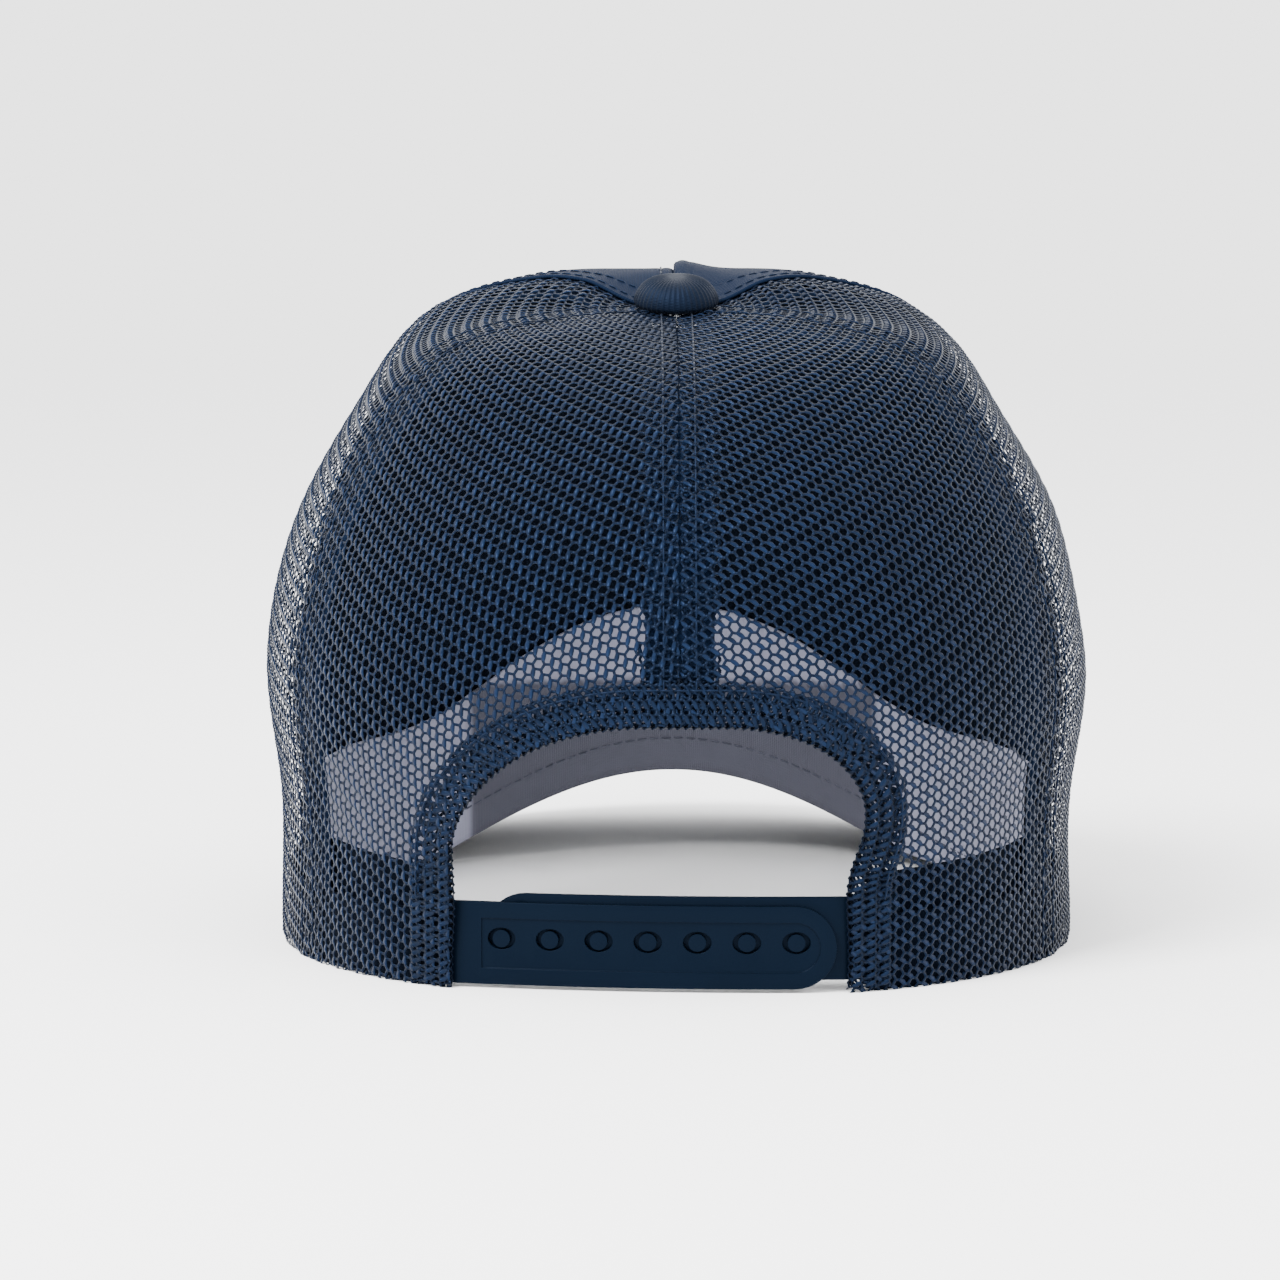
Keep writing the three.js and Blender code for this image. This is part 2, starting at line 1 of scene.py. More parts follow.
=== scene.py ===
# A navy trucker mesh cap: knitted mesh back, stiffened twill front, curved visor and a plastic snap strap.

# %% [markdown]
# # Setting up
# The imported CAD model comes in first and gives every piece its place. Sizes below are in millimetres and
# are turned into metres when a mesh is made, so that the script reads like a pattern maker's notes.

import math

import bmesh
import bpy
import numpy as np
from mathutils import Euler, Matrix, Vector


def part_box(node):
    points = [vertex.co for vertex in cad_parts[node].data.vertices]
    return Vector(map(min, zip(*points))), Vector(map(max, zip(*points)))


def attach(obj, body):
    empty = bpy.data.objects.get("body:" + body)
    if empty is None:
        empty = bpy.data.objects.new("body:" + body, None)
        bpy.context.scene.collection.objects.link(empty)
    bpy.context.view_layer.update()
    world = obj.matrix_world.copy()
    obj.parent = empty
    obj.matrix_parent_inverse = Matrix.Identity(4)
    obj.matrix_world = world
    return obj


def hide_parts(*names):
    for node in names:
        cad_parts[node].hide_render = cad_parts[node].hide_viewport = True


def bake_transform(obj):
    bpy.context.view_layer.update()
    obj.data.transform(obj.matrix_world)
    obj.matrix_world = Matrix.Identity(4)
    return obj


# %%
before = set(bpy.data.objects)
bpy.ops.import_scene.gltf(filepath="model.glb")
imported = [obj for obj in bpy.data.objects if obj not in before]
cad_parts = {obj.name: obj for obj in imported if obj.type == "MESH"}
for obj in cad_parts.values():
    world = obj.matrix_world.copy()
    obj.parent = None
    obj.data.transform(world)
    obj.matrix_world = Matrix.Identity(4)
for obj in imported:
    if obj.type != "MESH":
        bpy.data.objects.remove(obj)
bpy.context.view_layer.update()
MM = 0.001

# %% [markdown]
# # Camera
# The cap stands with its back to us, and is seen from a little above with a long lens, so it hardly
# tapers. The camera is placed first, as every choice of detail depends on what it can see.

# %%
CAMERA_PLACE = Vector((0.0078, 0.957, 0.150))
CAMERA_TARGET = Vector((0.0078, 0.0389, 0.0614))
LENS = 119.5

camera_data = bpy.data.cameras.new("camera")
camera_data.lens = LENS
camera_data.clip_start = 0.01
camera = bpy.data.objects.new("camera", camera_data)
camera.location = CAMERA_PLACE
camera.rotation_euler = (CAMERA_TARGET - CAMERA_PLACE).to_track_quat("-Z", "Y").to_euler()
bpy.context.scene.collection.objects.link(camera)
bpy.context.scene.camera = camera
print("camera distance (mm):", round(1000 * (CAMERA_TARGET - CAMERA_PLACE).length))

# %% [markdown]
# # The crown's surface
# The crown is one smooth surface that all its panels, tapes and bands follow. A profile runs up the back,
# the side and the front, and the three are mixed round the cap over a squarish oval plan. `azimuth` goes
# from the back towards +X, and `share` from 0 at the hem to 1 at the button. Arrays are used throughout,
# since a panel asks for thousands of points at once. The stiff front stands fuller than the soft mesh, so the
# dome is raised there by a few millimetres.

# %%
CROWN_HALF_WIDTH = 85.4
CROWN_BACK = 95
CROWN_FRONT = 103
CROWN_HEIGHT = 133.5
PLAN_EXPONENT = 2.3
VISOR_RISE = 25
VISOR_RISE_FOCUS = 2
TOP_FULLNESS = 5.5  # how much the stiff front stands above a plain dome
MIDDLE_FULLNESS = 0.4  # the share of it left at the centre seam
MIDDLE_ENDS = (2, 30)  # how far to each side that takes to fade
FULL_ENDS = (48, 78)  # how far to each side the fullness itself takes to fade
FULL_SHARES = (0.35, 0.62)  # where it comes in on the way up
FULL_TURN = (-0.3, 0.35)  # and on the way round, as minus the azimuth's cosine
FULL_REACH = (6, 22)  # and on the way out from the button
REAR_SEAM = 57
FRONT_SEAM = 115
BACK_PROFILE = np.array([[1, 0], [1.01, 0.21], [1.005, 0.435], [0.92, 0.66],
                         [0.757, 0.82], [0.567, 0.91], [0.295, 0.963], [0, 1]])
SIDE_PROFILE = np.array([[1, 0], [0.997, 0.225], [1.034, 0.45], [0.964, 0.66],
                         [0.82, 0.84], [0.656, 0.955], [0.363, 0.999], [0, 1]])
FRONT_PROFILE = np.array([[1, 0], [0.995, 0.22], [0.965, 0.44], [0.885, 0.66],
                          [0.757, 0.83], [0.563, 0.975], [0.272, 1.045], [0, 1]])

shank_low, shank_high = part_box("button_shank")
POLE_Y = 500 * (shank_low.y + shank_high.y)


def ease(value, low, high):
    t = np.clip((value - low) / (high - low), 0, 1)
    return t * t * (3 - 2 * t)


def plan_radius(azimuth):
    across = np.abs(np.sin(azimuth)) / CROWN_HALF_WIDTH
    along = np.abs(np.cos(azimuth)) / np.where(np.cos(azimuth) > 0, CROWN_BACK, CROWN_FRONT)
    return (across ** PLAN_EXPONENT + along ** PLAN_EXPONENT) ** (-1 / PLAN_EXPONENT)


def knots(azimuth):
    cosine = np.cos(azimuth)[..., None]
    at_back = cosine > 0
    end = np.where(at_back[..., None], BACK_PROFILE, FRONT_PROFILE)
    weight = cosine ** 2
    rise = VISOR_RISE * weight ** VISOR_RISE_FOCUS * (1 - end[..., 1])
    lift = np.where(at_back, 0, np.maximum(rise, 0))
    share = SIDE_PROFILE[:, 0] * (1 - weight) + end[..., 0] * weight
    height = SIDE_PROFILE[:, 1] * CROWN_HEIGHT * (1 - weight) + (end[..., 1] * CROWN_HEIGHT + lift) * weight
    return np.stack([share * plan_radius(azimuth)[..., None], height], -1)


def surface(azimuth, share):
    azimuth, share = np.broadcast_arrays(np.asarray(azimuth, float), np.asarray(share, float))
    near, far = knots(azimuth), knots(azimuth + math.pi)
    before = 2 * near[..., :1, :] - near[..., 1:2, :]
    after = far[..., -2:-1, :] * (-1, 1)
    line = np.concatenate([before, near, after], -2)
    place = np.clip(share, 0, 1) * (near.shape[-2] - 1)
    first = np.minimum(place.astype(int), near.shape[-2] - 2)
    t = (place - first)[..., None]
    a, b, c, d = (np.take_along_axis(line, (first + i)[..., None, None], -2)[..., 0, :] for i in range(4))
    radius, height = np.moveaxis(
        b + 0.5 * t * (c - a + t * (2 * a - 5 * b + 4 * c - d + t * (3 * (b - c) + d - a))), -1, 0)
    across = radius * np.sin(azimuth)
    full = TOP_FULLNESS * (1 - ease(np.abs(across), *FULL_ENDS)) * ease(share, *FULL_SHARES)
    full = full * (MIDDLE_FULLNESS + (1 - MIDDLE_FULLNESS) * ease(np.abs(across), *MIDDLE_ENDS))
    full = full * ease(-np.cos(azimuth), *FULL_TURN) * ease(radius, *FULL_REACH)
    return np.stack([across, POLE_Y + radius * np.cos(azimuth), height + full], -1)


def unit(vectors):
    return vectors / np.maximum(np.linalg.norm(vectors, axis=-1, keepdims=True), 1e-12)


def run_along(line):
    """How far along a line of points each point is."""
    return np.concatenate([[0], np.cumsum(np.linalg.norm(np.diff(line, axis=0), axis=1))])


def outward(azimuth, share):
    step = 0.002
    low = np.minimum(share, 1 - 2 * step)
    up = surface(azimuth, low + step) - surface(azimuth, low)
    around = surface(azimuth + step, low) - surface(azimuth - step, low)
    normal = -np.cross(around, up)
    normal[..., 2] = np.where(share < 2 * step, 0, normal[..., 2])
    return unit(normal)


def crown_point(azimuth, share, depth=0):
    azimuth, share, depth = np.broadcast_arrays(*(np.asarray(v, float) for v in (azimuth, share, depth)))
    return surface(azimuth, share) - outward(azimuth, share) * depth[..., None]


def plan_reach(azimuth, share):
    point = surface(azimuth, share)
    return np.hypot(point[..., 0], point[..., 1] - POLE_Y)


print("crown at the side (mm):", surface(math.pi / 2, 0.4).round(1))

# %% [markdown]
# # Making meshes
# Small helpers: one makes an object out of points and faces, one lays points out as a grid of quads, and
# one gives a part its finish. Points come in millimetres.

# %%
def mesh_object(name, points, faces, smooth=True):
    mesh = bpy.data.meshes.new(name)
    mesh.from_pydata((np.asarray(points, float).reshape(-1, 3) * MM).tolist(), [], faces)
    if smooth:
        mesh.shade_smooth()
    obj = bpy.data.objects.new(name, mesh)
    bpy.context.scene.collection.objects.link(obj)
    return obj


def grid_faces(rows, columns, closed=False):
    index = np.arange(rows * columns).reshape(rows, columns)
    if closed:
        index = np.concatenate([index, index[:, :1]], 1)
    a, b, c, d = index[:-1, :-1], index[:-1, 1:], index[1:, 1:], index[1:, :-1]
    return np.stack([a, b, c, d], -1).reshape(-1, 4).tolist()


def point_attribute(obj, name, kind, values):
    attribute = obj.data.attributes.new(name, kind, "POINT")
    field = "value" if kind == "FLOAT" else "vector"
    attribute.data.foreach_set(field, np.asarray(values, np.float32).ravel())


def give(obj, material):
    obj.data.materials.clear()
    obj.data.materials.append(material)
    return obj


# %% [markdown]
# # The half-moon opening
# Its outline is drawn as seen from behind: up from the strap, over a long slope on one side, and down a
# tighter shoulder on the other. It isn't even, because the mesh is soft and has been pulled to one side.

# %%
OPENING_LEFT = 44.7
OPENING_RIGHT = 36.3
OPENING_FOOT_RIGHT = 33
OPENING_FOOT = 18
OPENING_SHOULDER_LEFT = 27
OPENING_SHOULDER_RIGHT = 36
OPENING_HEIGHT = 53
OPENING_FLAT_LEFT = 7
OPENING_FLAT_RIGHT = 9
PULL = 0.55


def bezier(points, steps=24):
    a, b, c, d = (np.array(p, float) for p in points)
    t = np.linspace(0, 1, steps)[:, None]
    return a * (1 - t) ** 3 + 3 * b * t * (1 - t) ** 2 + 3 * c * t ** 2 * (1 - t) + d * t ** 3


def opening_outline():
    foot = (-OPENING_FOOT_RIGHT, OPENING_FOOT)
    waist = OPENING_FOOT + (OPENING_SHOULDER_RIGHT - OPENING_FOOT) * PULL
    right = (-OPENING_RIGHT, OPENING_SHOULDER_RIGHT)
    top_right = (-OPENING_FLAT_RIGHT, OPENING_HEIGHT)
    top_left = (OPENING_FLAT_LEFT, OPENING_HEIGHT)
    left = (OPENING_LEFT, OPENING_SHOULDER_LEFT)
    rise_right = right[1] + (OPENING_HEIGHT - right[1]) * PULL
    rise_left = left[1] + (OPENING_HEIGHT - left[1]) * PULL
    pieces = [
        bezier([(-OPENING_FOOT_RIGHT, 0)] * 2 + [foot] * 2, 8),
        bezier([foot, (foot[0], waist), (right[0], waist), right]),
        bezier([right, (right[0], rise_right), (top_right[0] - (OPENING_RIGHT - OPENING_FLAT_RIGHT) * PULL,
                                                OPENING_HEIGHT), top_right]),
        bezier([top_right] * 2 + [top_left] * 2, 8),
        bezier([top_left, (top_left[0] + (OPENING_LEFT - OPENING_FLAT_LEFT) * PULL, OPENING_HEIGHT),
                (left[0], rise_left), left]),
        bezier([left] * 2 + [(OPENING_LEFT, 0)] * 2, 12),
    ]
    line = np.concatenate(pieces)
    return line[np.concatenate([[True], np.linalg.norm(np.diff(line, axis=0), axis=1) > 0.02])]


OUTLINE = opening_outline()


def from_opening(points):
    """Distance from the opening's edge, seen from behind; negative inside the opening."""
    flat = points[..., [0, 2]]
    start, along = OUTLINE[:-1], np.diff(OUTLINE, axis=0)
    best = np.full(flat.shape[:-1], 1e9)
    crossings = np.zeros(flat.shape[:-1], int)
    for (sx, sz), (dx, dz) in zip(start, along):
        px, pz = flat[..., 0] - sx, flat[..., 1] - sz
        t = np.clip((px * dx + pz * dz) / (dx * dx + dz * dz), 0, 1)
        best = np.minimum(best, np.hypot(px - t * dx, pz - t * dz))
        if dz:
            hit = ((sz > flat[..., 1]) != (sz + dz > flat[..., 1])) & (px < pz * dx / dz)
            crossings += hit
    inside = (crossings % 2 == 1) & (points[..., 1] > 0)
    return np.where(inside, -best, best)


print("opening outline points:", len(OUTLINE))

# %% [markdown]
# # Knitted mesh, as one repeat
# The real cloth is a warp-knitted polyester mesh: chains of stiff yarn loops that swap neighbours every few
# stitches and leave six-sided holes. One row of loops stands proud and shines, the next lies deeper and is
# thinner; the yarn's colour adds a painted highlight on the proud row and painted shade on the deep one. One
# repeat is modelled as a few closed low-poly yarns, because it's repeated thousands of times.

# %%
REPEAT_WIDTH = 2.1
REPEAT_HEIGHT = 3.7
LOOP_RISE = 0.6  # how far a crossing yarn climbs on its way to the next column
LOOP_LEAN = 0.34  # how far each end of a loop stands to the side of its column
YARN = 1.12  # the yarn is pressed flat, so this is its width at a loop; the rest is a share of it
LOOP_WIDTHS, LOOP_HEIGHTS = (0.72, 0.98, 0.76), (0.2, 0.31, 0.23)
CHAIN_WIDTH, CHAIN_HEIGHT = 0.72, 0.16
SLANT_WIDTH, SLANT_HEIGHT = 0.7, 0.155
PROUD, DEEP = 0.16, -0.14  # heights of the shining row and of the row behind it
MESH_DEPTH = 0.5  # from the crown's surface to the middle of the cloth


def bar(line, widths, heights, sides):
    """A closed yarn along a line of points in the plane of the cloth, with z as its own height."""
    line = np.array(line, float)
    along = unit(np.gradient(line, axis=0))
    across = unit(np.stack([along[:, 1], -along[:, 0], np.zeros(len(line))], -1))
    over = np.cross(across, along)
    turn = (np.arange(sides) + 0.5) / sides * 2 * math.pi
    sideways = np.cos(turn)[None, :, None] * np.array(widths)[:, None, None] / 2
    upwards = np.sin(turn)[None, :, None] * np.array(heights)[:, None, None] / 2
    rings = line[:, None] + across[:, None] * sideways + over[:, None] * upwards
    faces = grid_faces(len(line), sides, closed=True)
    last = (len(line) - 1) * sides
    faces += [list(range(sides)), [last + i for i in reversed(range(sides))]]
    return rings.reshape(-1, 3), faces


def join(parts):
    points, faces, start = [], [], 0
    for part_points, part_faces in parts:
        points.append(part_points)
        faces += [[start + i for i in face] for face in part_faces]
        start += len(part_points)
    return np.concatenate(points), faces


def knit_repeat():
    """The points and faces of one repeat, and which of its points are on the proud loop."""
    leg = REPEAT_HEIGHT / 2 - LOOP_RISE
    side = REPEAT_WIDTH / 2
    top = leg + LOOP_RISE
    loop = bar([(-LOOP_LEAN, -0.12, DEEP), (-0.02, 0.45 * leg, PROUD), (LOOP_LEAN, leg + 0.12, 0.02)],
               [w * YARN for w in LOOP_WIDTHS], [h * YARN for h in LOOP_HEIGHTS], 5)
    chain = bar([(side, top - 0.1, DEEP), (side, top + leg + 0.1, DEEP)],
                [CHAIN_WIDTH * YARN] * 2, [CHAIN_HEIGHT * YARN] * 2, 4)
    loop_end, chain_end = (LOOP_LEAN, leg, 0), (side, top + leg, DEEP)
    ways = [(loop_end, (side, top, DEEP)), (loop_end, (-side, top, DEEP)),
            (chain_end, (0, REPEAT_HEIGHT, DEEP)), (chain_end, (2 * side, REPEAT_HEIGHT, DEEP))]
    slants = [bar(way, [SLANT_WIDTH * YARN] * 2, [SLANT_HEIGHT * YARN] * 2, 4) for way in ways]
    points, faces = join([loop, chain, *slants])
    return points, faces, np.arange(len(points)) < len(loop[0])


cell_points, cell_faces, cell_proud = knit_repeat()
knit_cell = mesh_object("knit_repeat", cell_points, cell_faces)
point_attribute(knit_cell, "proud", "FLOAT", cell_proud)
print("knit repeat:", len(cell_faces), "faces")

# %% [markdown]
# # Knitted mesh, as a cloth
# A Geometry Nodes tree lays the repeat out in rows and columns on the flat cut, turns it to the cloth's
# grain, and then carries every point to the place on the cap that has the same spot of the pattern. The cap
# side of it is a fine grid that knows its pattern place, its outward direction and how far it is from a cut
# edge. So the cloth keeps its grain, as real cloth does, and no hole is stretched.

# %%
PATTERN = 300  # the side of the square that the pattern is drawn on
UNEVENNESS = 0.05  # how far the yarn strays from its even place


def put(tree, made, key, value):
    """Gives a node's input a value, or a link when the value is another node's output."""
    if isinstance(value, bpy.types.NodeSocket):
        tree.links.new(value, made.inputs[key])
    elif value is not None:
        made.inputs[key].default_value = value


def node(tree, kind, values=None, links=None, **settings):
    made = tree.nodes.new(kind)
    for key, value in settings.items():
        setattr(made, key, value)
    for key, value in {**(values or {}), **(links or {})}.items():
        put(tree, made, key, value)
    return made


def maths(tree, operation, a, b=None):
    made = node(tree, "ShaderNodeMath", operation=operation)
    for index, value in enumerate((a, b)):
        put(tree, made, index, value)
    return made.outputs[0]


def vector_maths(tree, operation, a, b=None, scale=None):
    made = node(tree, "ShaderNodeVectorMath", operation=operation)
    for key, value in ((0, a), (1, b), ("Scale", scale)):
        put(tree, made, key, value)
    return made.outputs[0]


def geometry_tree(name, inputs):
    """An empty tree that takes and gives geometry, with named inputs, and those inputs' sockets."""
    tree = bpy.data.node_groups.new(name, "GeometryNodeTree")
    tree.is_modifier = True
    tree.interface.new_socket("Geometry", in_out="INPUT", socket_type="NodeSocketGeometry")
    for label, (kind, default) in inputs.items():
        made = tree.interface.new_socket(label, in_out="INPUT", socket_type="NodeSocket" + kind)
        if default is not None:
            made.default_value = default
    tree.interface.new_socket("Geometry", in_out="OUTPUT", socket_type="NodeSocketGeometry")
    return tree, node(tree, "NodeGroupInput").outputs


def named(tree, name, kind="FLOAT_VECTOR"):
    return node(tree, "GeometryNodeInputNamedAttribute", {"Name": name}, data_type=kind).outputs[0]


def copies(tree, points, shape, rotation, seed):
    """A real copy of a shape on every point, each with a `yarn` value of its own."""
    shape = node(tree, "GeometryNodeObjectInfo", {"As Instance": True}, {"Object": shape})
    laid = node(tree, "GeometryNodeInstanceOnPoints", links={
        "Points": points, "Instance": shape.outputs["Geometry"], "Rotation": rotation})
    chance = node(tree, "FunctionNodeRandomValue", links={"Seed": seed}, data_type="FLOAT")
    marked = node(tree, "GeometryNodeStoreNamedAttribute", {"Name": "yarn"}, {
        "Geometry": laid.outputs[0], "Value": chance.outputs[1]}, data_type="FLOAT", domain="INSTANCE")
    return node(tree, "GeometryNodeRealizeInstances", links={"Geometry": marked.outputs[0]}).outputs[0]


def dress(tree, geometry, material):
    """The end of a tree: its material, smooth shading and the way out."""
    dressed = node(tree, "GeometryNodeSetMaterial", links={"Geometry": geometry, "Material": material})
    smooth = node(tree, "GeometryNodeSetShadeSmooth", links={"Geometry": dressed.outputs[0]})
    node(tree, "NodeGroupOutput", links={0: smooth.outputs[0]})


def cloth_tree():
    tree, into = geometry_tree("knitted_cloth", {
        "Repeat": ("Object", None), "Columns": ("Int", 10), "Rows": ("Int", 10),
        "Repeat width": ("Float", REPEAT_WIDTH * MM), "Repeat height": ("Float", REPEAT_HEIGHT * MM),
        "Grain": ("Float", 0.0), "Unevenness": ("Float", UNEVENNESS * MM), "Seed": ("Int", 3),
        "Yarn": ("Material", None)})

    points = node(tree, "GeometryNodeMeshGrid", links={
        "Size X": maths(tree, "MULTIPLY", maths(tree, "SUBTRACT", into["Columns"], 1), into["Repeat width"]),
        "Size Y": maths(tree, "MULTIPLY", maths(tree, "SUBTRACT", into["Rows"], 1), into["Repeat height"]),
        "Vertices X": into["Columns"], "Vertices Y": into["Rows"]}).outputs["Mesh"]
    grain = node(tree, "ShaderNodeCombineXYZ", links={"Z": into["Grain"]}).outputs[0]
    turned = node(tree, "GeometryNodeTransform", links={"Geometry": points, "Rotation": grain}).outputs[0]

    def on_cap(name, kind="FLOAT_VECTOR"):
        place = node(tree, "GeometryNodeInputPosition").outputs[0]
        spot = vector_maths(tree, "SCALE", place, scale=1 / (PATTERN * MM))
        return node(tree, "GeometryNodeSampleUVSurface", data_type=kind, links={
            "Mesh": into["Geometry"], "Value": named(tree, name, kind), "UV Map": named(tree, "pattern"),
            "Sample UV": vector_maths(tree, "ADD", spot, (0.5, 0.5, 0))})

    outside = maths(tree, "SUBTRACT", 1, on_cap("outward").outputs["Is Valid"])
    near = node(tree, "GeometryNodeDeleteGeometry", links={"Geometry": turned, "Selection": outside})
    turn = node(tree, "FunctionNodeEulerToRotation", links={"Euler": grain}).outputs[0]
    real = copies(tree, near.outputs[0], into["Repeat"], turn, into["Seed"])

    out = on_cap("outward")
    room = maths(tree, "GREATER_THAN", on_cap("room", "FLOAT").outputs[0], 0)
    kept = maths(tree, "MULTIPLY", room, out.outputs["Is Valid"])
    cut = node(tree, "GeometryNodeDeleteGeometry", links={
        "Geometry": real, "Selection": maths(tree, "SUBTRACT", 1, kept)})
    wobble = node(tree, "ShaderNodeTexNoise", {"Scale": 420.0, "Detail": 0.0}).outputs["Color"]
    shift = vector_maths(tree, "SCALE", vector_maths(tree, "SUBTRACT", wobble, (0.5, 0.5, 0.5)),
                         scale=into["Unevenness"])
    above = node(tree, "ShaderNodeSeparateXYZ", links={0: node(tree, "GeometryNodeInputPosition").outputs[0]})
    lifted = vector_maths(tree, "ADD", on_cap("place").outputs[0],
                          vector_maths(tree, "SCALE", out.outputs[0], scale=above.outputs["Z"]))
    moved = node(tree, "GeometryNodeSetPosition", links={
        "Geometry": cut.outputs[0], "Position": vector_maths(tree, "ADD", lifted, shift)})
    dress(tree, moved.outputs[0], into["Yarn"])
    return tree


def set_inputs(modifier, **values):
    by_name = {item.name: item.identifier for item in modifier.node_group.interface.items_tree
               if item.in_out == "INPUT"}
    for name, value in values.items():
        modifier[by_name[name.replace("_", " ")]] = value


def baked(obj, name):
    """The plain mesh that a piece's Geometry Nodes make, as a finished object of its own."""
    depsgraph = bpy.context.evaluated_depsgraph_get()
    mesh = bpy.data.meshes.new_from_object(obj.evaluated_get(depsgraph))
    made = bpy.data.objects.new(name, mesh)
    bpy.context.scene.collection.objects.link(made)
    bpy.data.objects.remove(obj)
    return made


CLOTH = cloth_tree()


def knit(name, base, grain, material, seed=3, spread=1.0):
    """Covers a base grid, which has pattern, place, outward and room attributes, with knitted mesh."""
    pattern = np.zeros(len(base.data.vertices) * 3, np.float32)
    base.data.attributes["pattern"].data.foreach_get("vector", pattern)
    reach = np.abs((pattern.reshape(-1, 3)[:, :2] - 0.5) * PATTERN).max(0)
    half = float(np.hypot(*reach)) + REPEAT_HEIGHT
    modifier = base.modifiers.new("knit", "NODES")
    modifier.node_group = CLOTH
    set_inputs(modifier, Repeat=knit_cell, Columns=int(2 * half / (REPEAT_WIDTH * spread)),
               Rows=int(2 * half / (REPEAT_HEIGHT * spread)), Repeat_width=REPEAT_WIDTH * spread * MM,
               Repeat_height=REPEAT_HEIGHT * spread * MM, Grain=math.radians(grain), Seed=seed, Yarn=material)
    return baked(base, name)

# %% [markdown]
# # Where a panel lies
# A mesh panel is a gore between two seams. Past each seam its cloth turns under and runs back for a few
# millimetres, which is what makes a real seam look twice as dense; at the hem it turns under as well.

# %%
FOLD_DEPTH = 0.85
HEM_TURN = 3
TURN_ROWS = 3
GRID_STEP = 1.6


def wave(points, size, height, seed):
    """A slow ripple, as soft cloth has where nothing holds it flat."""
    turn = np.random.default_rng(seed).uniform(0, 2 * math.pi, 4)
    x, y, z = points[..., 0] / size, points[..., 1] / size, points[..., 2] / size
    return height * (np.sin(1.3 * x + 0.7 * z + turn[0]) * np.sin(1.1 * z - 0.6 * y + turn[1])
                     + 0.5 * np.sin(2.3 * z + 1.2 * x - 0.8 * y + turn[2])) / 1.5


def pattern_base(name, places, outs, patterns, room):
    """A grid that the cloth is carried on to, with what the cloth asks of each of its points."""
    obj = mesh_object(name, places, grid_faces(*places.shape[:2]))
    point_attribute(obj, "place", "FLOAT_VECTOR", places * MM)
    point_attribute(obj, "outward", "FLOAT_VECTOR", outs)
    point_attribute(obj, "pattern", "FLOAT_VECTOR", patterns / PATTERN + np.array([0.5, 0.5, 0]))
    point_attribute(obj, "room", "FLOAT", room)
    return obj


def gore_base(first, last, under_first, under_last, low_radius, ripple, seed):
    """A grid over one gore, from azimuth first to last in degrees, with the pattern place of every point."""
    middle = math.radians((first + last) / 2)
    shares = np.linspace(0, 1, 140)
    shares = shares[plan_reach(np.full(140, middle), shares) > low_radius]
    spine = surface(np.full(len(shares), middle), shares)
    up = run_along(spine)
    rows = int(up[-1] / GRID_STEP)
    row_share = np.interp(np.linspace(0, up[-1], rows), up, shares)
    row_up = np.linspace(0, up[-1], rows)
    fine = np.radians(np.linspace(first, last, 121))
    columns = int(math.radians(last - first) * CROWN_HALF_WIDTH / GRID_STEP)
    extra_first, extra_last = (max(int(w / GRID_STEP), 0) for w in (under_first, under_last))
    places, patterns, outs, hem = [], [], [], []
    for share, height in zip(row_share, row_up):
        ring = surface(fine, np.full(121, share))
        run = run_along(ring)
        run -= np.interp(middle, fine, run)
        inner = np.linspace(run[0], run[-1], columns)
        before = run[0] - np.linspace(under_first, 0, extra_first, endpoint=False)
        after = run[-1] + np.linspace(under_last, 0, extra_last, endpoint=False)[::-1]
        across = np.concatenate([before, inner, after])
        under = np.maximum(run[0] - across, 0) + np.maximum(across - run[-1], 0)
        folded = np.where(across < run[0], 2 * run[0] - across, across)
        folded = np.where(across > run[-1], 2 * run[-1] - across, folded)
        folded = np.clip(folded, run[0], run[-1])
        azimuth = np.interp(folded, run, fine)
        slack = np.clip((folded - run[0]) / 12, 0, 1) * np.clip((run[-1] - folded) / 12, 0, 1)
        slack *= np.clip(height / 20, 0, 1)
        turned = 1 - np.exp(-under / 0.5)
        depth = MESH_DEPTH + FOLD_DEPTH * turned
        base = surface(azimuth, np.full(len(azimuth), share))
        depth = depth - slack * wave(base, 17, ripple, seed)
        places.append(crown_point(azimuth, np.full(len(azimuth), share), depth))
        outs.append(outward(azimuth, np.full(len(azimuth), share)) * np.where(turned > 0.5, -1, 1)[:, None])
        patterns.append(np.stack([across, np.full(len(across), height - up[-1] / 2), 0 * across], -1))
    for i in range(1, TURN_ROWS + 1):
        drop = HEM_TURN * i / TURN_ROWS
        turned_in = places[0] - outs[0] * 2 * MESH_DEPTH * min(drop, 1)
        turned_in[:, 2] = max(drop - 1, 0)
        hem.append(turned_in)
        patterns.insert(0, patterns[0] - np.array([0, HEM_TURN / TURN_ROWS, 0]))
    places = hem[::-1] + places
    outs = [outs[0]] * TURN_ROWS + outs
    places, outs, patterns = (np.array(v) for v in (places, outs, patterns))
    return pattern_base(f"base_{first:g}_{last:g}", places, outs, patterns, from_opening(places) - 0.3)


# %% [markdown]
# # Cloth and finish
# Every finish is worked out from the piece's own pattern coordinates, so that its weave follows the cloth
# and not the room. Colours are linear light. The navy is one dye lot seen on different yarns.

# %%
NAVY = (0.0017, 0.0041, 0.0118)
PALE = (0.34, 0.345, 0.44)
# how dark the painted shade on the lower part of the pale sweatband is, as a share of its colour
PAINTED_SHADE_LEVEL = 0.28


def new_material(name, values):
    material = bpy.data.materials.new(name)
    material.use_nodes = True
    shader = material.node_tree.nodes["Principled BSDF"]
    for key, value in values.items():
        shader.inputs[key].default_value = value
    return material, material.node_tree, shader


def noise(tree, place, scale, detail, roughness=0.5):
    values = {"Scale": scale, "Detail": detail, "Roughness": roughness}
    return node(tree, "ShaderNodeTexNoise", values, {"Vector": place}).outputs[0]


def dyed(level, colour=NAVY):
    return tuple(level * c for c in colour)


def tint(colour, level):
    return (*[min(c * level, 1) for c in colour], 1)


def shade_mix(tree, factor, low, high):
    return node(tree, "ShaderNodeMix", links={0: factor, 6: low, 7: high}, data_type="RGBA").outputs[2]


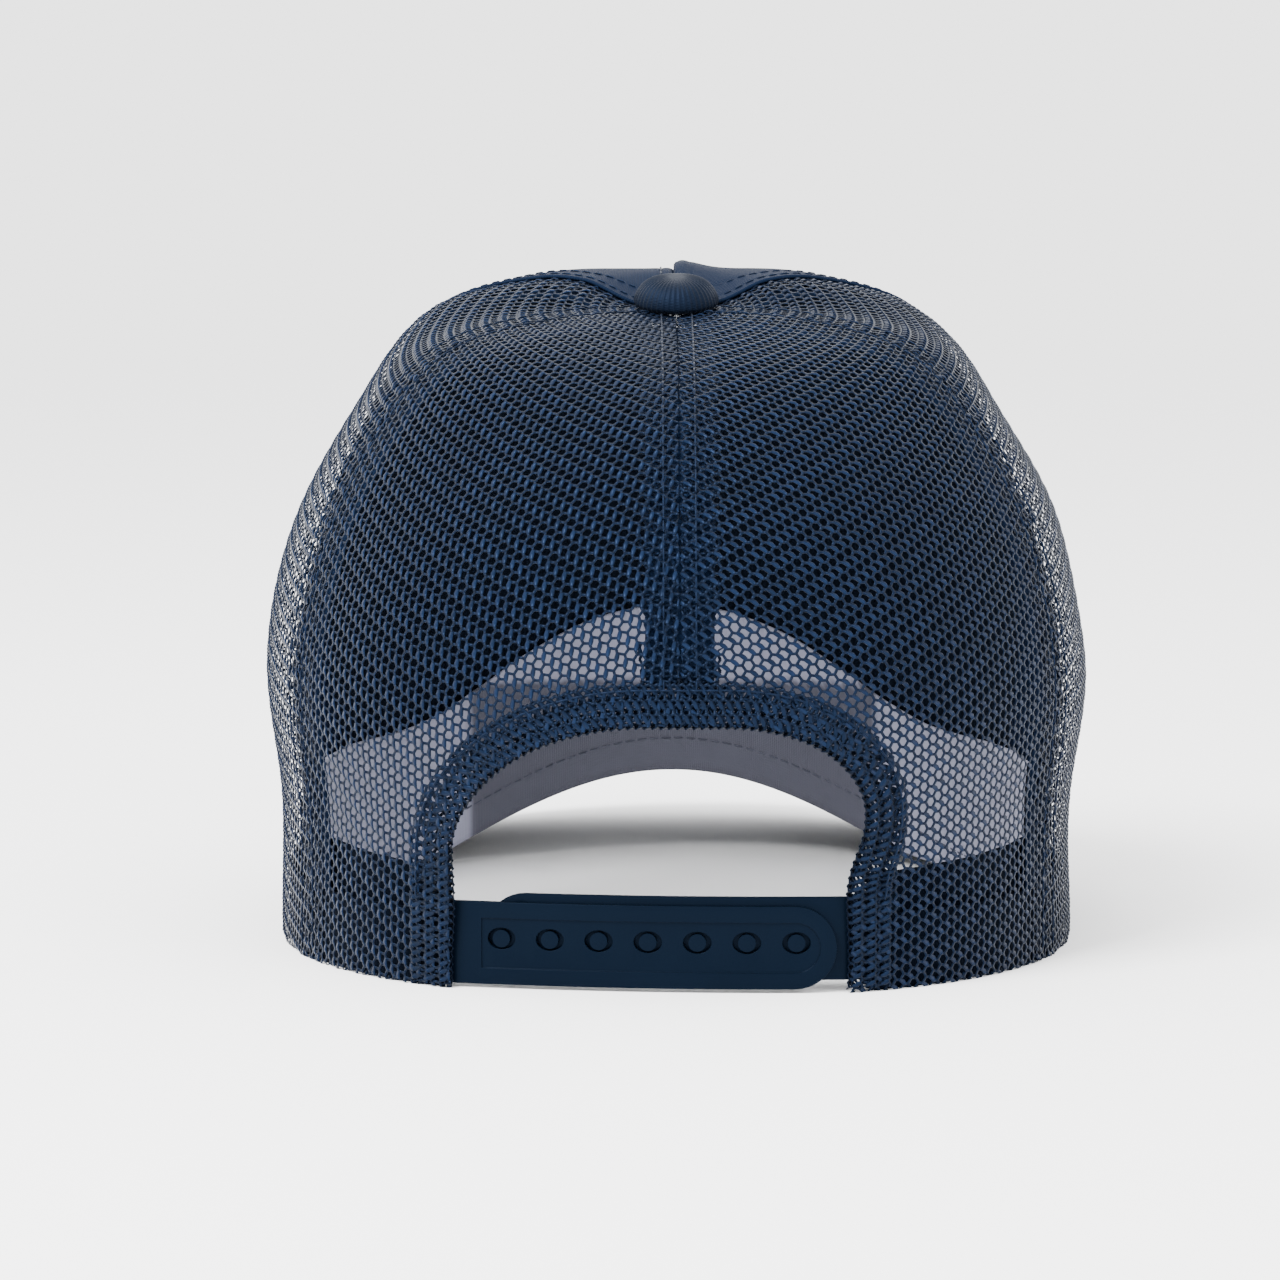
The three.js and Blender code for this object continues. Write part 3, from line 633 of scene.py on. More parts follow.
def add_bump(tree, shader, height, strength, distance):
    bump = node(tree, "ShaderNodeBump", {"Strength": strength, "Distance": distance * MM}, {"Height": height})
    tree.links.new(bump.outputs[0], shader.inputs["Normal"])


def yarn_material(name, colour, rough, sheen):
    """Round, slightly hairy polyester yarn. Each repeat of the knit has its own depth of dye. The proud loops
    get a painted highlight (a lighter colour) and the deeper yarn painted shade (a darker one).
    """
    material, tree, shader = new_material(name, {
        "Roughness": rough, "Sheen Weight": sheen, "Sheen Tint": (0.6, 0.7, 0.9, 1),
        "Specular IOR Level": 0.16, "Specular Tint": (0.3, 0.5, 1, 1)})
    place = node(tree, "ShaderNodeTexCoord").outputs["Object"]
    mark = node(tree, "ShaderNodeAttribute", attribute_name="yarn").outputs["Fac"]
    fuzz = noise(tree, place, 1500.0, 2.0)
    patch = noise(tree, place, 45.0, 2.0)
    level = maths(tree, "ADD", maths(tree, "MULTIPLY", mark, 0.45), maths(tree, "MULTIPLY", fuzz, 0.35))
    # Painted highlight and painted shade: yarn on the proud loop is coloured lighter, as if catching the light,
    # and the deeper yarn darker.
    proud = node(tree, "ShaderNodeAttribute", attribute_name="proud").outputs["Fac"]
    level = maths(tree, "ADD", level, maths(tree, "MULTIPLY", patch, 0.2))
    level = maths(tree, "MULTIPLY", level, maths(tree, "ADD", 0.45, proud))
    tree.links.new(shade_mix(tree, level, tint(colour, 0.25), tint(colour, 1.7)), shader.inputs["Base Color"])
    add_bump(tree, shader, fuzz, 0.5, 0.15)
    return material


def woven_material(name, colour, pitch, slope, rough, relief, sheen=0.01, variation=0.25, bands=None):
    """Woven cloth. Ribs of one pitch run at a slope across the piece's own flat pattern, in millimetres, and
    a second set crosses them. bands is the pitch of a herringbone, or None. Where a piece has a shade mask
    attribute the cloth is painted darker there: painted shade for the shadowed lower part of the sweatband."""
    material, tree, shader = new_material(name, {
        "Roughness": rough, "Sheen Weight": sheen,
        "Sheen Tint": tint(tuple(min(3 * c + 0.2, 1) for c in colour), 1),
        "Specular IOR Level": 0.06, "Specular Tint": (0.4, 0.6, 1, 1)})
    flat = node(tree, "ShaderNodeAttribute", attribute_name="flat").outputs["Vector"]
    parts = node(tree, "ShaderNodeSeparateXYZ", links={0: flat}).outputs
    x, y = parts[0], parts[1]
    if bands:
        x = maths(tree, "PINGPONG", x, bands)

    def ribs(operation, a, b, turn):
        along = maths(tree, "MULTIPLY", a, math.cos(slope))
        place = maths(tree, operation, along, maths(tree, "MULTIPLY", b, math.sin(slope)))
        return maths(tree, "SINE", maths(tree, "MULTIPLY", place, turn))

    turn = 2 * math.pi / pitch
    rib, cross = ribs("ADD", x, y, turn), ribs("SUBTRACT", y, x, turn * 1.4)
    weave = maths(tree, "ADD", maths(tree, "MULTIPLY", rib, 0.36), maths(tree, "MULTIPLY", cross, 0.14))
    weave = maths(tree, "ADD", weave, 0.5)
    hair = noise(tree, flat, 6.0, 3.0, 0.7)
    slow = noise(tree, flat, 0.08, 2.0)
    level = maths(tree, "ADD", maths(tree, "MULTIPLY", weave, 0.4), maths(tree, "MULTIPLY", hair, 0.3))
    level = maths(tree, "ADD", level, maths(tree, "MULTIPLY", slow, 0.3))
    cloth = shade_mix(tree, level, tint(colour, 1 - variation), tint(colour, 1 + variation))
    # Painted shade: where the shade mask is set, the cloth colour is darkened to stand in for shadow.
    painted_shade = node(tree, "ShaderNodeAttribute", attribute_name="painted_shade").outputs["Fac"]
    lower = shade_mix(tree, painted_shade, cloth, tint(colour, PAINTED_SHADE_LEVEL))
    tree.links.new(lower, shader.inputs["Base Color"])
    add_bump(tree, shader, maths(tree, "ADD", weave, maths(tree, "MULTIPLY", hair, 0.5)), 0.8, relief)
    return material


def plastic_material(name, colour, rough, grain=0.02):
    """Moulded plastic with a faint grain and uneven gloss."""
    material, tree, shader = new_material(name, {"Specular IOR Level": 0.06, "Specular Tint": (0.4, 0.6, 1, 1)})
    place = node(tree, "ShaderNodeTexCoord").outputs["Object"]
    fine = noise(tree, place, 900.0, 3.0)
    slow = noise(tree, place, 60.0, 2.0)
    tree.links.new(shade_mix(tree, slow, tint(colour, 0.85), tint(colour, 1.15)), shader.inputs["Base Color"])
    gloss = maths(tree, "ADD", rough - 0.06, maths(tree, "MULTIPLY", slow, 0.12))
    tree.links.new(gloss, shader.inputs["Roughness"])
    add_bump(tree, shader, fine, 0.25, grain)
    return material


mesh_yarn = yarn_material("mesh_yarn", NAVY, 0.38, 0.01)
band_yarn = yarn_material("band_yarn", dyed(0.6), 0.42, 0.01)
thread = yarn_material("thread", dyed(1.3), 0.4, 0.01)
pale_thread = yarn_material("pale_thread", dyed(0.4, PALE), 0.6, 0.1)
twill = woven_material("twill", dyed(1.25), 0.62, math.radians(28), 0.62, 0.1)
visor_twill = woven_material("visor_twill", dyed(1.3), 0.62, math.radians(-32), 0.62, 0.1)
tape_cloth = woven_material("tape_cloth", dyed(1.5), 0.9, math.radians(45), 0.7, 0.12, bands=3.2)
navy_cotton = woven_material("navy_cotton", dyed(0.35), 0.5, 0.0, 0.8, 0.08)
pale_cotton = woven_material("pale_cotton", PALE, 0.5, 0.0, 0.85, 0.08, sheen=0.1, variation=0.08)
buckram = woven_material("buckram", (0.004, 0.006, 0.011), 1.5, 0.0, 0.8, 0.3, variation=0.5)
strap_plastic = plastic_material("strap_plastic", (0.0009, 0.0024, 0.0056), 0.36)
board_plastic = plastic_material("board_plastic", (0.006, 0.008, 0.012), 0.5)
steel, tree, shader = new_material("steel", {"Base Color": (0.55, 0.56, 0.58, 1), "Metallic": 1.0})
brushed = noise(tree, node(tree, "ShaderNodeTexCoord").outputs["Object"], 700.0, 2.0)
tree.links.new(maths(tree, "ADD", 0.25, maths(tree, "MULTIPLY", brushed, 0.2)), shader.inputs["Roughness"])

# %% [markdown]
# # Cloth bodies
# Cloth has two faces and a soft rim. A piece is given as its outer and inner grids, and the rim between
# them is pushed out a little so that a cut or folded edge looks rounded. `flat` keeps the pattern place, in
# millimetres, that the weave is drawn on.

# %%
def rim_loop(rows, columns):
    top = [(0, c) for c in range(columns)] + [(r, columns - 1) for r in range(1, rows)]
    return top + [(rows - 1, c) for c in range(columns - 2, -1, -1)] + [(r, 0) for r in range(rows - 2, 0, -1)]


def face_out(obj):
    work = bmesh.new()
    work.from_mesh(obj.data)
    bmesh.ops.recalc_face_normals(work, faces=work.faces)
    work.to_mesh(obj.data)
    work.free()


def cloth_body(name, outer, inner, flat, material):
    rows, columns = outer.shape[:2]
    loop = rim_loop(rows, columns)
    r, c = (np.array(v) for v in zip(*loop))
    beside = outer[np.clip(r, 1, rows - 2), np.clip(c, 1, columns - 2)]
    thick = np.linalg.norm(outer[r, c] - inner[r, c], axis=-1, keepdims=True)
    middle = (outer[r, c] + inner[r, c]) / 2 + unit(outer[r, c] - beside) * thick * 0.45
    count = rows * columns
    faces = grid_faces(rows, columns)
    faces += [[count + i for i in reversed(face)] for face in grid_faces(rows, columns)]
    index = r * columns + c
    for i in range(len(loop)):
        j = (i + 1) % len(loop)
        rim_i, rim_j = 2 * count + i, 2 * count + j
        faces += [[index[i], rim_i, rim_j, index[j]], [rim_i, count + index[i], count + index[j], rim_j]]
    points = np.concatenate([outer.reshape(-1, 3), inner.reshape(-1, 3), middle])
    obj = mesh_object(name, points, [[int(v) for v in face] for face in faces])
    flat = flat.reshape(-1, 3)
    point_attribute(obj, "flat", "FLOAT_VECTOR", np.concatenate([flat, flat, flat[index]]))
    face_out(obj)
    return give(obj, material)


def rows_up(azimuth, low, high, count):
    """Shares from low to high at one azimuth, spaced evenly over the cloth, and their heights up the cloth."""
    fine = np.linspace(low, high, 160)
    line = surface(np.full(160, azimuth), fine)
    up = run_along(line)
    even = np.linspace(0, up[-1], count)
    return np.interp(even, up, fine), even


def share_at_rise(azimuth, rise):
    """The share whose point is that far above the hem, for arrays of azimuths."""
    low, high = np.zeros(np.shape(azimuth)), np.full(np.shape(azimuth), 0.5)
    start = surface(azimuth, 0 * low)[..., 2]
    for _ in range(30):
        half = (low + high) / 2
        below = surface(azimuth, half)[..., 2] - start < rise
        low, high = np.where(below, half, low), np.where(below, high, half)
    return (low + high) / 2


def share_at_reach(azimuth, reach):
    shares = np.linspace(0.7, 1, 300)
    return float(np.interp(-reach, -plan_reach(np.full(300, azimuth), shares), shares))


def finish_piece(piece, *nodes, slot=None):
    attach(piece, "crown")
    if nodes:
        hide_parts(*nodes)
    return piece


def declare(piece):
    """Reads the flat pattern places of a piece of cloth; nothing is done with them."""
    flat = np.zeros(len(piece.data.vertices) * 3, np.float32)
    piece.data.attributes["flat"].data.foreach_get("vector", flat)


# %% [markdown]
# # Stitching
# A seam is sewn with the same stitch again and again, so each row of stitches is a line that Geometry Nodes
# space evenly and fill with one small sunk thread. The line knows which way is out of the cloth.

# %%
STITCH = 2.9
STITCH_GAP = 0.55
THREAD = 0.42


def stitch_shape():
    half = (STITCH - STITCH_GAP) / 2
    low, high = -0.35 * THREAD, 0.25 * THREAD
    line = [(-half, 0, low), (-0.55 * half, 0, high), (0.55 * half, 0, high), (half, 0, low)]
    across = [0.6 * THREAD, THREAD, THREAD, 0.6 * THREAD]
    return bar(line, across, across, 6)


def stitch_tree():
    tree, into = geometry_tree("stitch_row", {
        "Stitch": ("Object", None), "Length": ("Float", STITCH * MM), "Seed": ("Int", 1),
        "Thread": ("Material", None)})
    line = node(tree, "GeometryNodeMeshToCurve", links={0: into["Geometry"]})
    even = node(tree, "GeometryNodeResampleCurve", mode="LENGTH", links={
        "Curve": line.outputs[0], "Length": into["Length"]})
    along = node(tree, "GeometryNodeInputTangent").outputs[0]
    turn = node(tree, "FunctionNodeAxesToRotation", links={0: named(tree, "out"), 1: along},
                primary_axis="Z", secondary_axis="X")
    dress(tree, copies(tree, even.outputs[0], into["Stitch"], turn.outputs[0], into["Seed"]), into["Thread"])
    return tree


stitch_points, stitch_faces = stitch_shape()
one_stitch = mesh_object("one_stitch", stitch_points, stitch_faces)
STITCHES = stitch_tree()


def sew(name, lines, material=thread):
    """Sews along lines, each a pair of points in millimetres and outward directions."""
    points = np.concatenate([np.asarray(line[0]) for line in lines])
    outs = np.concatenate([np.broadcast_to(line[1], np.shape(line[0])) for line in lines])
    edges, start = [], 0
    for line in lines:
        edges += [(start + i, start + i + 1) for i in range(len(line[0]) - 1)]
        start += len(line[0])
    mesh = bpy.data.meshes.new(name)
    mesh.from_pydata((points * MM).tolist(), edges, [])
    obj = bpy.data.objects.new(name + "_line", mesh)
    bpy.context.scene.collection.objects.link(obj)
    point_attribute(obj, "out", "FLOAT_VECTOR", outs)
    modifier = obj.modifiers.new("sew", "NODES")
    modifier.node_group = STITCHES
    set_inputs(modifier, Stitch=one_stitch, Length=STITCH * MM, Thread=material)
    return finish_piece(baked(obj, name))


def crown_line(azimuth, share, depth):
    azimuth, share = np.broadcast_arrays(np.asarray(azimuth, float), np.asarray(share, float))
    return crown_point(azimuth, share, depth), outward(azimuth, share)


# %% [markdown]
# # Mesh panels
# Four gores of knitted mesh make the back and sides. The back ones lie with their courses climbing away from
# the centre seam, as they do when two mirrored gores are cut from one folded length.

# %%
UNDER_CENTRE = 8.5
UNDER_SEAM = 6
for name, ends, unders, grain, seed in (
        ("back_mesh_left", (0, REAR_SEAM), (UNDER_CENTRE, UNDER_SEAM), 30, 3),
        ("back_mesh_right", (-REAR_SEAM, 0), (UNDER_SEAM, UNDER_CENTRE), -30, 5),
        ("side_mesh_left", (REAR_SEAM, FRONT_SEAM), (UNDER_SEAM, UNDER_SEAM), 14, 7),
        ("side_mesh_right", (-FRONT_SEAM, -REAR_SEAM), (UNDER_SEAM, UNDER_SEAM), -14, 9)):
    base = gore_base(*ends, *unders, low_radius=4, ripple=0.55, seed=seed)
    spots = np.array([v.vector for v in base.data.attributes["pattern"].data])
    width, height = np.ptp(spots, axis=0)[:2] * PATTERN * MM
    piece = knit(name + "_cloth", base, grain, mesh_yarn, seed=seed)
    finish_piece(piece, name, slot="mesh_fabric")

# %% [markdown]
# # Folded hem of the opening
# The mesh is folded twice round the half-moon and sewn down, so its edge is several layers thick and almost
# opaque. A strip of the same knit is wrapped over the edge: its pattern runs along the outline.

# %%
HEM_WIDTH = 9.5
HEM_FACE = 0.25
HEM_BACK = 2.3
HEM_ROUND = 0.6  # how far from the edge the strip starts to turn over
HEM_MIDDLE = 1.25  # how deep it lies at the very edge


def at_back(x, z, depth):
    """Points of the crown's back, given as seen from behind."""
    x, z = np.asarray(x, float), np.asarray(z, float)
    azimuth, share = x / CROWN_BACK, z / CROWN_HEIGHT / 1.5
    for _ in range(12):
        here = crown_point(azimuth, share, depth)
        azimuth = azimuth + (x - here[..., 0]) / (plan_radius(azimuth) * np.cos(azimuth))
        share = np.clip(share + (z - here[..., 2]) / (1.6 * CROWN_HEIGHT), 0, 0.6)
    return crown_point(azimuth, share, depth), outward(azimuth, share)


def outline_frame(step):
    """The outline resampled evenly, and the direction away from the opening at each point."""
    run = run_along(OUTLINE)
    even = np.linspace(0, run[-1], int(run[-1] / step))
    line = np.stack([np.interp(even, run, OUTLINE[:, i]) for i in (0, 1)], -1)
    smooth = line.copy()
    for _ in range(6):
        smooth[1:-1] = (smooth[:-2] + 2 * smooth[1:-1] + smooth[2:]) / 4
    along = unit(np.gradient(smooth, axis=0))
    return even, line, np.stack([-along[:, 1], along[:, 0]], -1)


def hem_base():
    run, line, away = outline_frame(1.2)
    half = np.linspace(HEM_ROUND, HEM_WIDTH, 8)
    widths = np.concatenate([-half[::-1], [-0.3, 0, 0.3], half])
    places, outs, patterns = [], [], []
    for w in widths:
        spot = line + away * abs(w)
        edge = min(abs(w) / HEM_ROUND, 1)
        depth = (HEM_FACE if w > 0 else HEM_BACK) * edge + HEM_MIDDLE * (1 - edge)
        bulge = 0.25 * np.sin(run / 4.1) * (1 - min(abs(w) / 3, 1))
        place, out = at_back(spot[:, 0] + away[:, 0] * bulge, np.maximum(spot[:, 1], 0.6), depth)
        sideways = np.stack([-away[:, 0], 0 * run, -away[:, 1]], -1)
        outs.append(unit(out * (1 if w > 0 else -1) * edge + sideways * (1 - edge)))
        places.append(place)
        patterns.append(np.stack([run - run[-1] / 2, np.full(len(run), w), 0 * run], -1))
    places, outs, patterns = (np.array(v) for v in (places, outs, patterns))
    return pattern_base("hem_base", places, outs, patterns, np.ones(places.shape[:2])), run[-1]


base, hem_length = hem_base()
hem = knit("opening_hem", base, 0, band_yarn, seed=11, spread=0.77)
print("hem:", len(hem.data.polygons), "faces")
finish_piece(hem, "opening_binding", slot="mesh_fabric")
run, line, away = outline_frame(1.0)
spot = line + away * (HEM_WIDTH - 1.8)
spot = spot[spot[:, 1] > OPENING_FOOT + 1]
sew("opening_hem_stitches", [at_back(spot[:, 0], spot[:, 1], -0.15)])

# %% [markdown]
# # Seam tapes
# Herringbone tape covers every seam inside the crown. From outside it shows as a darker band behind the mesh.

# %%
TAPE_WIDTH = 13
TAPE_THICK = 0.5
FRONT_TAPE_DEPTH = 2.6  # under the twill and its buckram
MESH_TAPE_DEPTH = 1.9
SEAM_ROW = 3.2  # from a seam to the row of stitches on each side


def tape(name, seam, depth, start):
    azimuth = math.radians(seam)
    shares, up = rows_up(azimuth, start, share_at_reach(azimuth, 13.5), 46)
    across = np.linspace(-0.5, 0.5, 9)
    reach = plan_reach(np.full(len(shares), azimuth), shares)
    azimuths = azimuth + across[None] * TAPE_WIDTH / reach[:, None]
    share_grid = np.broadcast_to(shares[:, None], azimuths.shape)
    curl = 0.35 * (2 * np.abs(across)) ** 3
    outer = crown_point(azimuths, share_grid, depth)
    inner = crown_point(azimuths, share_grid, depth + TAPE_THICK + curl)
    flat = np.stack(np.broadcast_arrays(across[None] * TAPE_WIDTH, up[:, None], np.zeros(1)), -1)
    return cloth_body(name, outer, inner, flat, tape_cloth)


opening_top = float(share_at_rise(0.0, OPENING_HEIGHT + HEM_WIDTH - 1))
for place, seam, depth, start in (
        ("front_centre", 180, FRONT_TAPE_DEPTH, 0.0), ("front_left", FRONT_SEAM, FRONT_TAPE_DEPTH, 0.0),
        ("front_right", -FRONT_SEAM, FRONT_TAPE_DEPTH, 0.0), ("rear_left", REAR_SEAM, MESH_TAPE_DEPTH, 0.0),
        ("rear_right", -REAR_SEAM, MESH_TAPE_DEPTH, 0.0), ("back_centre", 0, MESH_TAPE_DEPTH, opening_top)):
    name = "seam_tape_" + place
    declare(finish_piece(tape(name + "_cloth", seam, depth, start), name, slot="tape"))

seam_rows = []
for seam in (0, REAR_SEAM, -REAR_SEAM):
    azimuth = math.radians(seam)
    low = opening_top if seam == 0 else 0.02
    shares, _ = rows_up(azimuth, low, share_at_reach(azimuth, 11), 60)
    reach = plan_reach(np.full(60, azimuth), shares)
    for side in (-1, 1):
        seam_rows.append(crown_line(azimuth + side * SEAM_ROW / reach, shares, -0.1))
sew("mesh_seam_stitches", seam_rows)

# %% [markdown]
# # Front panels
# Two gores of stiffened twill, fused to buckram, so they stand smooth and hardly wrinkle. They meet in a
# pressed centre seam with a row of stitches on each side. One panel's fold lies over the other, so its edge
# stands a little prouder. Down their rear edges they lap over the side mesh and are sewn twice.

# %%
PANEL_THICK = 0.9
PRESS = 0.55  # how deep the pressed seam sinks
LAP = 1.8  # how far the upper fold stands proud
SIDE_ROWS = (2.2, 7.4)  # from the side seam to its two rows of stitches
SIDE_LAP, SIDE_LAP_REACH = 0.35, 9  # the lap over the side mesh
BUCKRAM_DEPTHS = (1.5, 2.2)


def gore_grid(first, last, columns, rows, low_reach):
    """Azimuths, shares and flat pattern places over a gore, between two azimuths in degrees."""
    middle = math.radians((first + last) / 2)
    top = share_at_reach(middle, low_reach)
    shares, up = rows_up(middle, 0, top, rows)
    fine = np.radians(np.linspace(first, last, 161))
    azimuths, patterns = [], []
    for share, height in zip(shares, up):
        ring = surface(fine, np.full(161, share))
        run = run_along(ring)
        even = np.linspace(0, run[-1], columns)
        azimuths.append(np.interp(even, run, fine))
        patterns.append(np.stack([even - run[-1] / 2, np.full(columns, height), 0 * even], -1))
    azimuths = np.array(azimuths)
    return azimuths, np.broadcast_to(shares[:, None], azimuths.shape), np.array(patterns)


def front_panel(name, first, last, proud_edge):
    azimuth, share, flat = gore_grid(first + 0.1, last - 0.1, 120, 120, 3.5)
    reach = plan_reach(azimuth, share)
    from_centre = np.abs(np.abs(azimuth) - math.pi) * reach
    from_side = np.abs(np.abs(azimuth) - math.radians(FRONT_SEAM)) * reach
    sunk = PRESS * np.exp(-(from_centre / 0.9) ** 2)
    for away, row in ((from_centre, SEAM_ROW), (from_side, SIDE_ROWS[0]), (from_side, SIDE_ROWS[1])):
        sunk += 0.1 * np.exp(-((away - row) / 0.5) ** 2)
    over_top = np.clip((share - 0.45) / 0.3, 0, 1)
    sunk -= proud_edge * LAP * over_top * np.exp(-(from_centre / 7) ** 2)
    sunk -= SIDE_LAP * np.exp(-(from_side / SIDE_LAP_REACH) ** 2)
    slack = np.clip(from_centre / 15, 0, 1) * np.clip(from_side / 15, 0, 1)
    sunk -= 0.3 * slack * wave(surface(azimuth, share), 26, 1, 21)
    outer = crown_point(azimuth, share, sunk)
    inner = crown_point(azimuth, share, sunk + PANEL_THICK)
    return cloth_body(name + "_cloth", outer, inner, flat, twill)


HALVES = (("left", FRONT_SEAM, 180, 0.0), ("right", -180, -FRONT_SEAM, 1.0))
for half, first, last, proud in HALVES:
    name = "front_panel_" + half
    declare(finish_piece(front_panel(name, first, last, proud), name, slot="twill"))

for half, first, last, _ in HALVES:
    name = "front_stiffener_" + half
    azimuth, share, flat = gore_grid(first + 0.6, last - 0.6, 40, 60, 4.5)
    outer, inner = (crown_point(azimuth, share, depth) for depth in BUCKRAM_DEPTHS)
    declare(finish_piece(cloth_body(name + "_cloth", outer, inner, flat, buckram), name, slot="buckram"))

panel_rows = []
for seam, offsets, skip in ((180, (-SEAM_ROW, SEAM_ROW), 0.02), (FRONT_SEAM, SIDE_ROWS, 0.01),
                            (-FRONT_SEAM, [-row for row in SIDE_ROWS], 0.01)):
    azimuth = math.radians(seam)
    shares, _ = rows_up(azimuth, skip, share_at_reach(azimuth, 11), 70)
    reach = plan_reach(np.full(70, azimuth), shares)
    for offset in offsets:
        lift = -SIDE_LAP * math.exp(-(offset / SIDE_LAP_REACH) ** 2) if abs(seam) != 180 else 0
        panel_rows.append(crown_line(azimuth + offset / reach, shares, lift + 0.02))
sew("front_panel_stitches", panel_rows)

# %% [markdown]
# # Sweatband
# A soft folded band runs round the inside of the hem: pale at the front, navy from the temples back. It has a
# rolled top edge and is sewn in at the bottom, and it's the only thing that touches the head. The pale part
# is painted darker low down, between the temples: painted shade for where it lies in shadow. A strip of navy
# cotton backs the hem of the mesh.

# %%
SWEATBAND_FRONT = 36
SWEATBAND_BACK = 22
SWEATBAND_JOIN = 107
SWEATBAND_DEPTH = 4.25
SWEATBAND_SET_BACK = 1.5
SWEATBAND_ROW = 3.5  # from the hem up to its stitches
# Up to this height, and this far to each side of the middle, the pale sweatband gets painted shade.
PAINTED_SHADE_TOP = 42
PAINTED_SHADE_REACH = 47
HEM_TAPE = 15
HEM_TAPE_DEPTHS = (1.75, 2.3)


def sweatband(name, first, last, material, drop):
    columns, rows = int(abs(last - first) * 1.1), 24
    azimuth = np.radians(np.linspace(first, last, columns))
    front = (1 - np.cos(azimuth)) / 2
    arch = 1 - 0.16 * np.exp(-((np.abs(np.abs(azimuth) - math.pi) - 0.62) / 0.3) ** 2)
    tall = (SWEATBAND_BACK + (SWEATBAND_FRONT - SWEATBAND_BACK) * front) * arch
    rise = np.linspace(0, 1, rows)[:, None] * tall
    around = np.broadcast_to(azimuth, rise.shape)
    share = share_at_rise(around, rise)
    puff = 0.5 * np.sin(math.pi * np.linspace(0.02, 0.98, rows))[:, None]
    ripple = 0.18 * np.sin(azimuth * 31 + 2 * np.sin(azimuth * 7)) * np.linspace(0, 1, rows)[:, None]
    outer = crown_point(around, share, SWEATBAND_DEPTH + ripple)
    inner = crown_point(around, share, SWEATBAND_DEPTH + 0.9 + puff + ripple)
    for grid in (outer, inner):
        low = np.clip(1 - rise / 5, 0, 1) * drop
        grid[..., 2] -= low * np.clip((surface(around, 0 * rise)[..., 2]) / 8, 0, 1)
    run = run_along(outer[4])
    flat = np.stack([np.broadcast_to(run, rise.shape), rise, 0 * rise], -1)
    return cloth_body(name, outer, inner, flat, material)


def end_at_opening(x, side):
    edge = x + side * SWEATBAND_SET_BACK
    azimuth = np.radians(np.linspace(-80, 80, 400))
    line = crown_point(azimuth, np.full(400, 0.12), SWEATBAND_DEPTH)
    return math.degrees(float(np.interp(edge, line[:, 0], azimuth)))


left_end, right_end = end_at_opening(OPENING_LEFT, 1), end_at_opening(-OPENING_RIGHT, -1)
piece = sweatband("sweatband_front_cloth", SWEATBAND_JOIN + 0.1, 360 - SWEATBAND_JOIN - 0.1, pale_cotton, 4)
place = np.array([vertex.co for vertex in piece.data.vertices]) / MM
# Painted shade: the pale band is darkened low down between the temples, where it lies in shadow.
painted_shade = 1 - ease(place[:, 2], PAINTED_SHADE_TOP, PAINTED_SHADE_TOP + 1.5)
painted_shade = painted_shade * (1 - ease(np.abs(place[:, 0]), PAINTED_SHADE_REACH, PAINTED_SHADE_REACH + 2))
point_attribute(piece, "painted_shade", "FLOAT", painted_shade)
declare(finish_piece(piece, "sweatband_front", slot="pale_cotton"))
for name, first, last in (("sweatband_left", left_end, SWEATBAND_JOIN - 0.1),
                          ("sweatband_right", -SWEATBAND_JOIN + 0.1, right_end)):
    piece = sweatband(name + "_cloth", first, last, navy_cotton, 0)
    declare(finish_piece(piece, name, slot="navy_cotton"))


def hem_tape(name, first, last):
    azimuth = np.radians(np.linspace(first, last, 90))
    rise = np.linspace(0.15, HEM_TAPE, 8)[:, None] + 0 * azimuth
    around = np.broadcast_to(azimuth, rise.shape)
    share = share_at_rise(around, rise)
    outer, inner = (crown_point(around, share, depth) for depth in HEM_TAPE_DEPTHS)
    flat = np.stack([np.broadcast_to(run_along(outer[0]), rise.shape), rise, 0 * rise], -1)
    return cloth_body(name, outer, inner, flat, navy_cotton)


for name, first, last in (("hem_tape_left", left_end, FRONT_SEAM), ("hem_tape_right", -FRONT_SEAM, right_end)):
    declare(finish_piece(hem_tape(name, first, last), slot="navy_cotton"))

band_rows = []
for first, last in ((SWEATBAND_JOIN, 360 - SWEATBAND_JOIN), (left_end, SWEATBAND_JOIN),
                    (-SWEATBAND_JOIN, right_end)):
    azimuth = np.radians(np.linspace(first + 0.5, last - 0.5, 120))
    share = share_at_rise(azimuth, np.full(120, SWEATBAND_ROW))
    place, out = crown_line(azimuth, share, SWEATBAND_DEPTH + 1.15)
    band_rows.append((place, -out))
sew("sweatband_front_stitches", band_rows[:1], material=pale_thread)
sew("sweatband_side_stitches", band_rows[1:])

# %% [markdown]
# # Visor
# The visor is a plastic board between two twill covers, with a rolled edge. It curves from side to side, so
# every line of it that runs forward is straight. Rows of stitches follow its outline and press small
# valleys into the covers.

# %%
VISOR_LENGTH = 70
VISOR_SEAM = 105
VISOR_EXPONENT = 2.6
VISOR_DROOP = 5
VISOR_EDGE = 2.2
VISOR_CLEARANCE = 0.7
VISOR_REACH = 0.99
RIM_FLAT = 0.65
VISOR_TALL = 4.2
COVER_THICK = 0.8
VALLEY = 0.28  # how deep the stitches press
RIM_SIDES = 14
RIM_PLACES = 150
VISOR_ROW_PITCH = 7.5
VISOR_ROWS = 7

hem_azimuth = np.radians(np.linspace(VISOR_SEAM - 3, 360 - VISOR_SEAM + 3, 400))
hem_line = crown_point(hem_azimuth, np.zeros(400), -VISOR_CLEARANCE)
visor_end = crown_point(math.radians(VISOR_SEAM), 0, -VISOR_CLEARANCE)
visor_tip = crown_point(math.pi, 0, -VISOR_CLEARANCE)[1] - VISOR_LENGTH


def seam_for(x):
    """The y and z of the seam between the visor and the crown."""
    along = hem_line[np.argsort(hem_line[:, 0])]
    return np.interp(x, along[:, 0], along[:, 1]), np.interp(x, along[:, 0], along[:, 2])


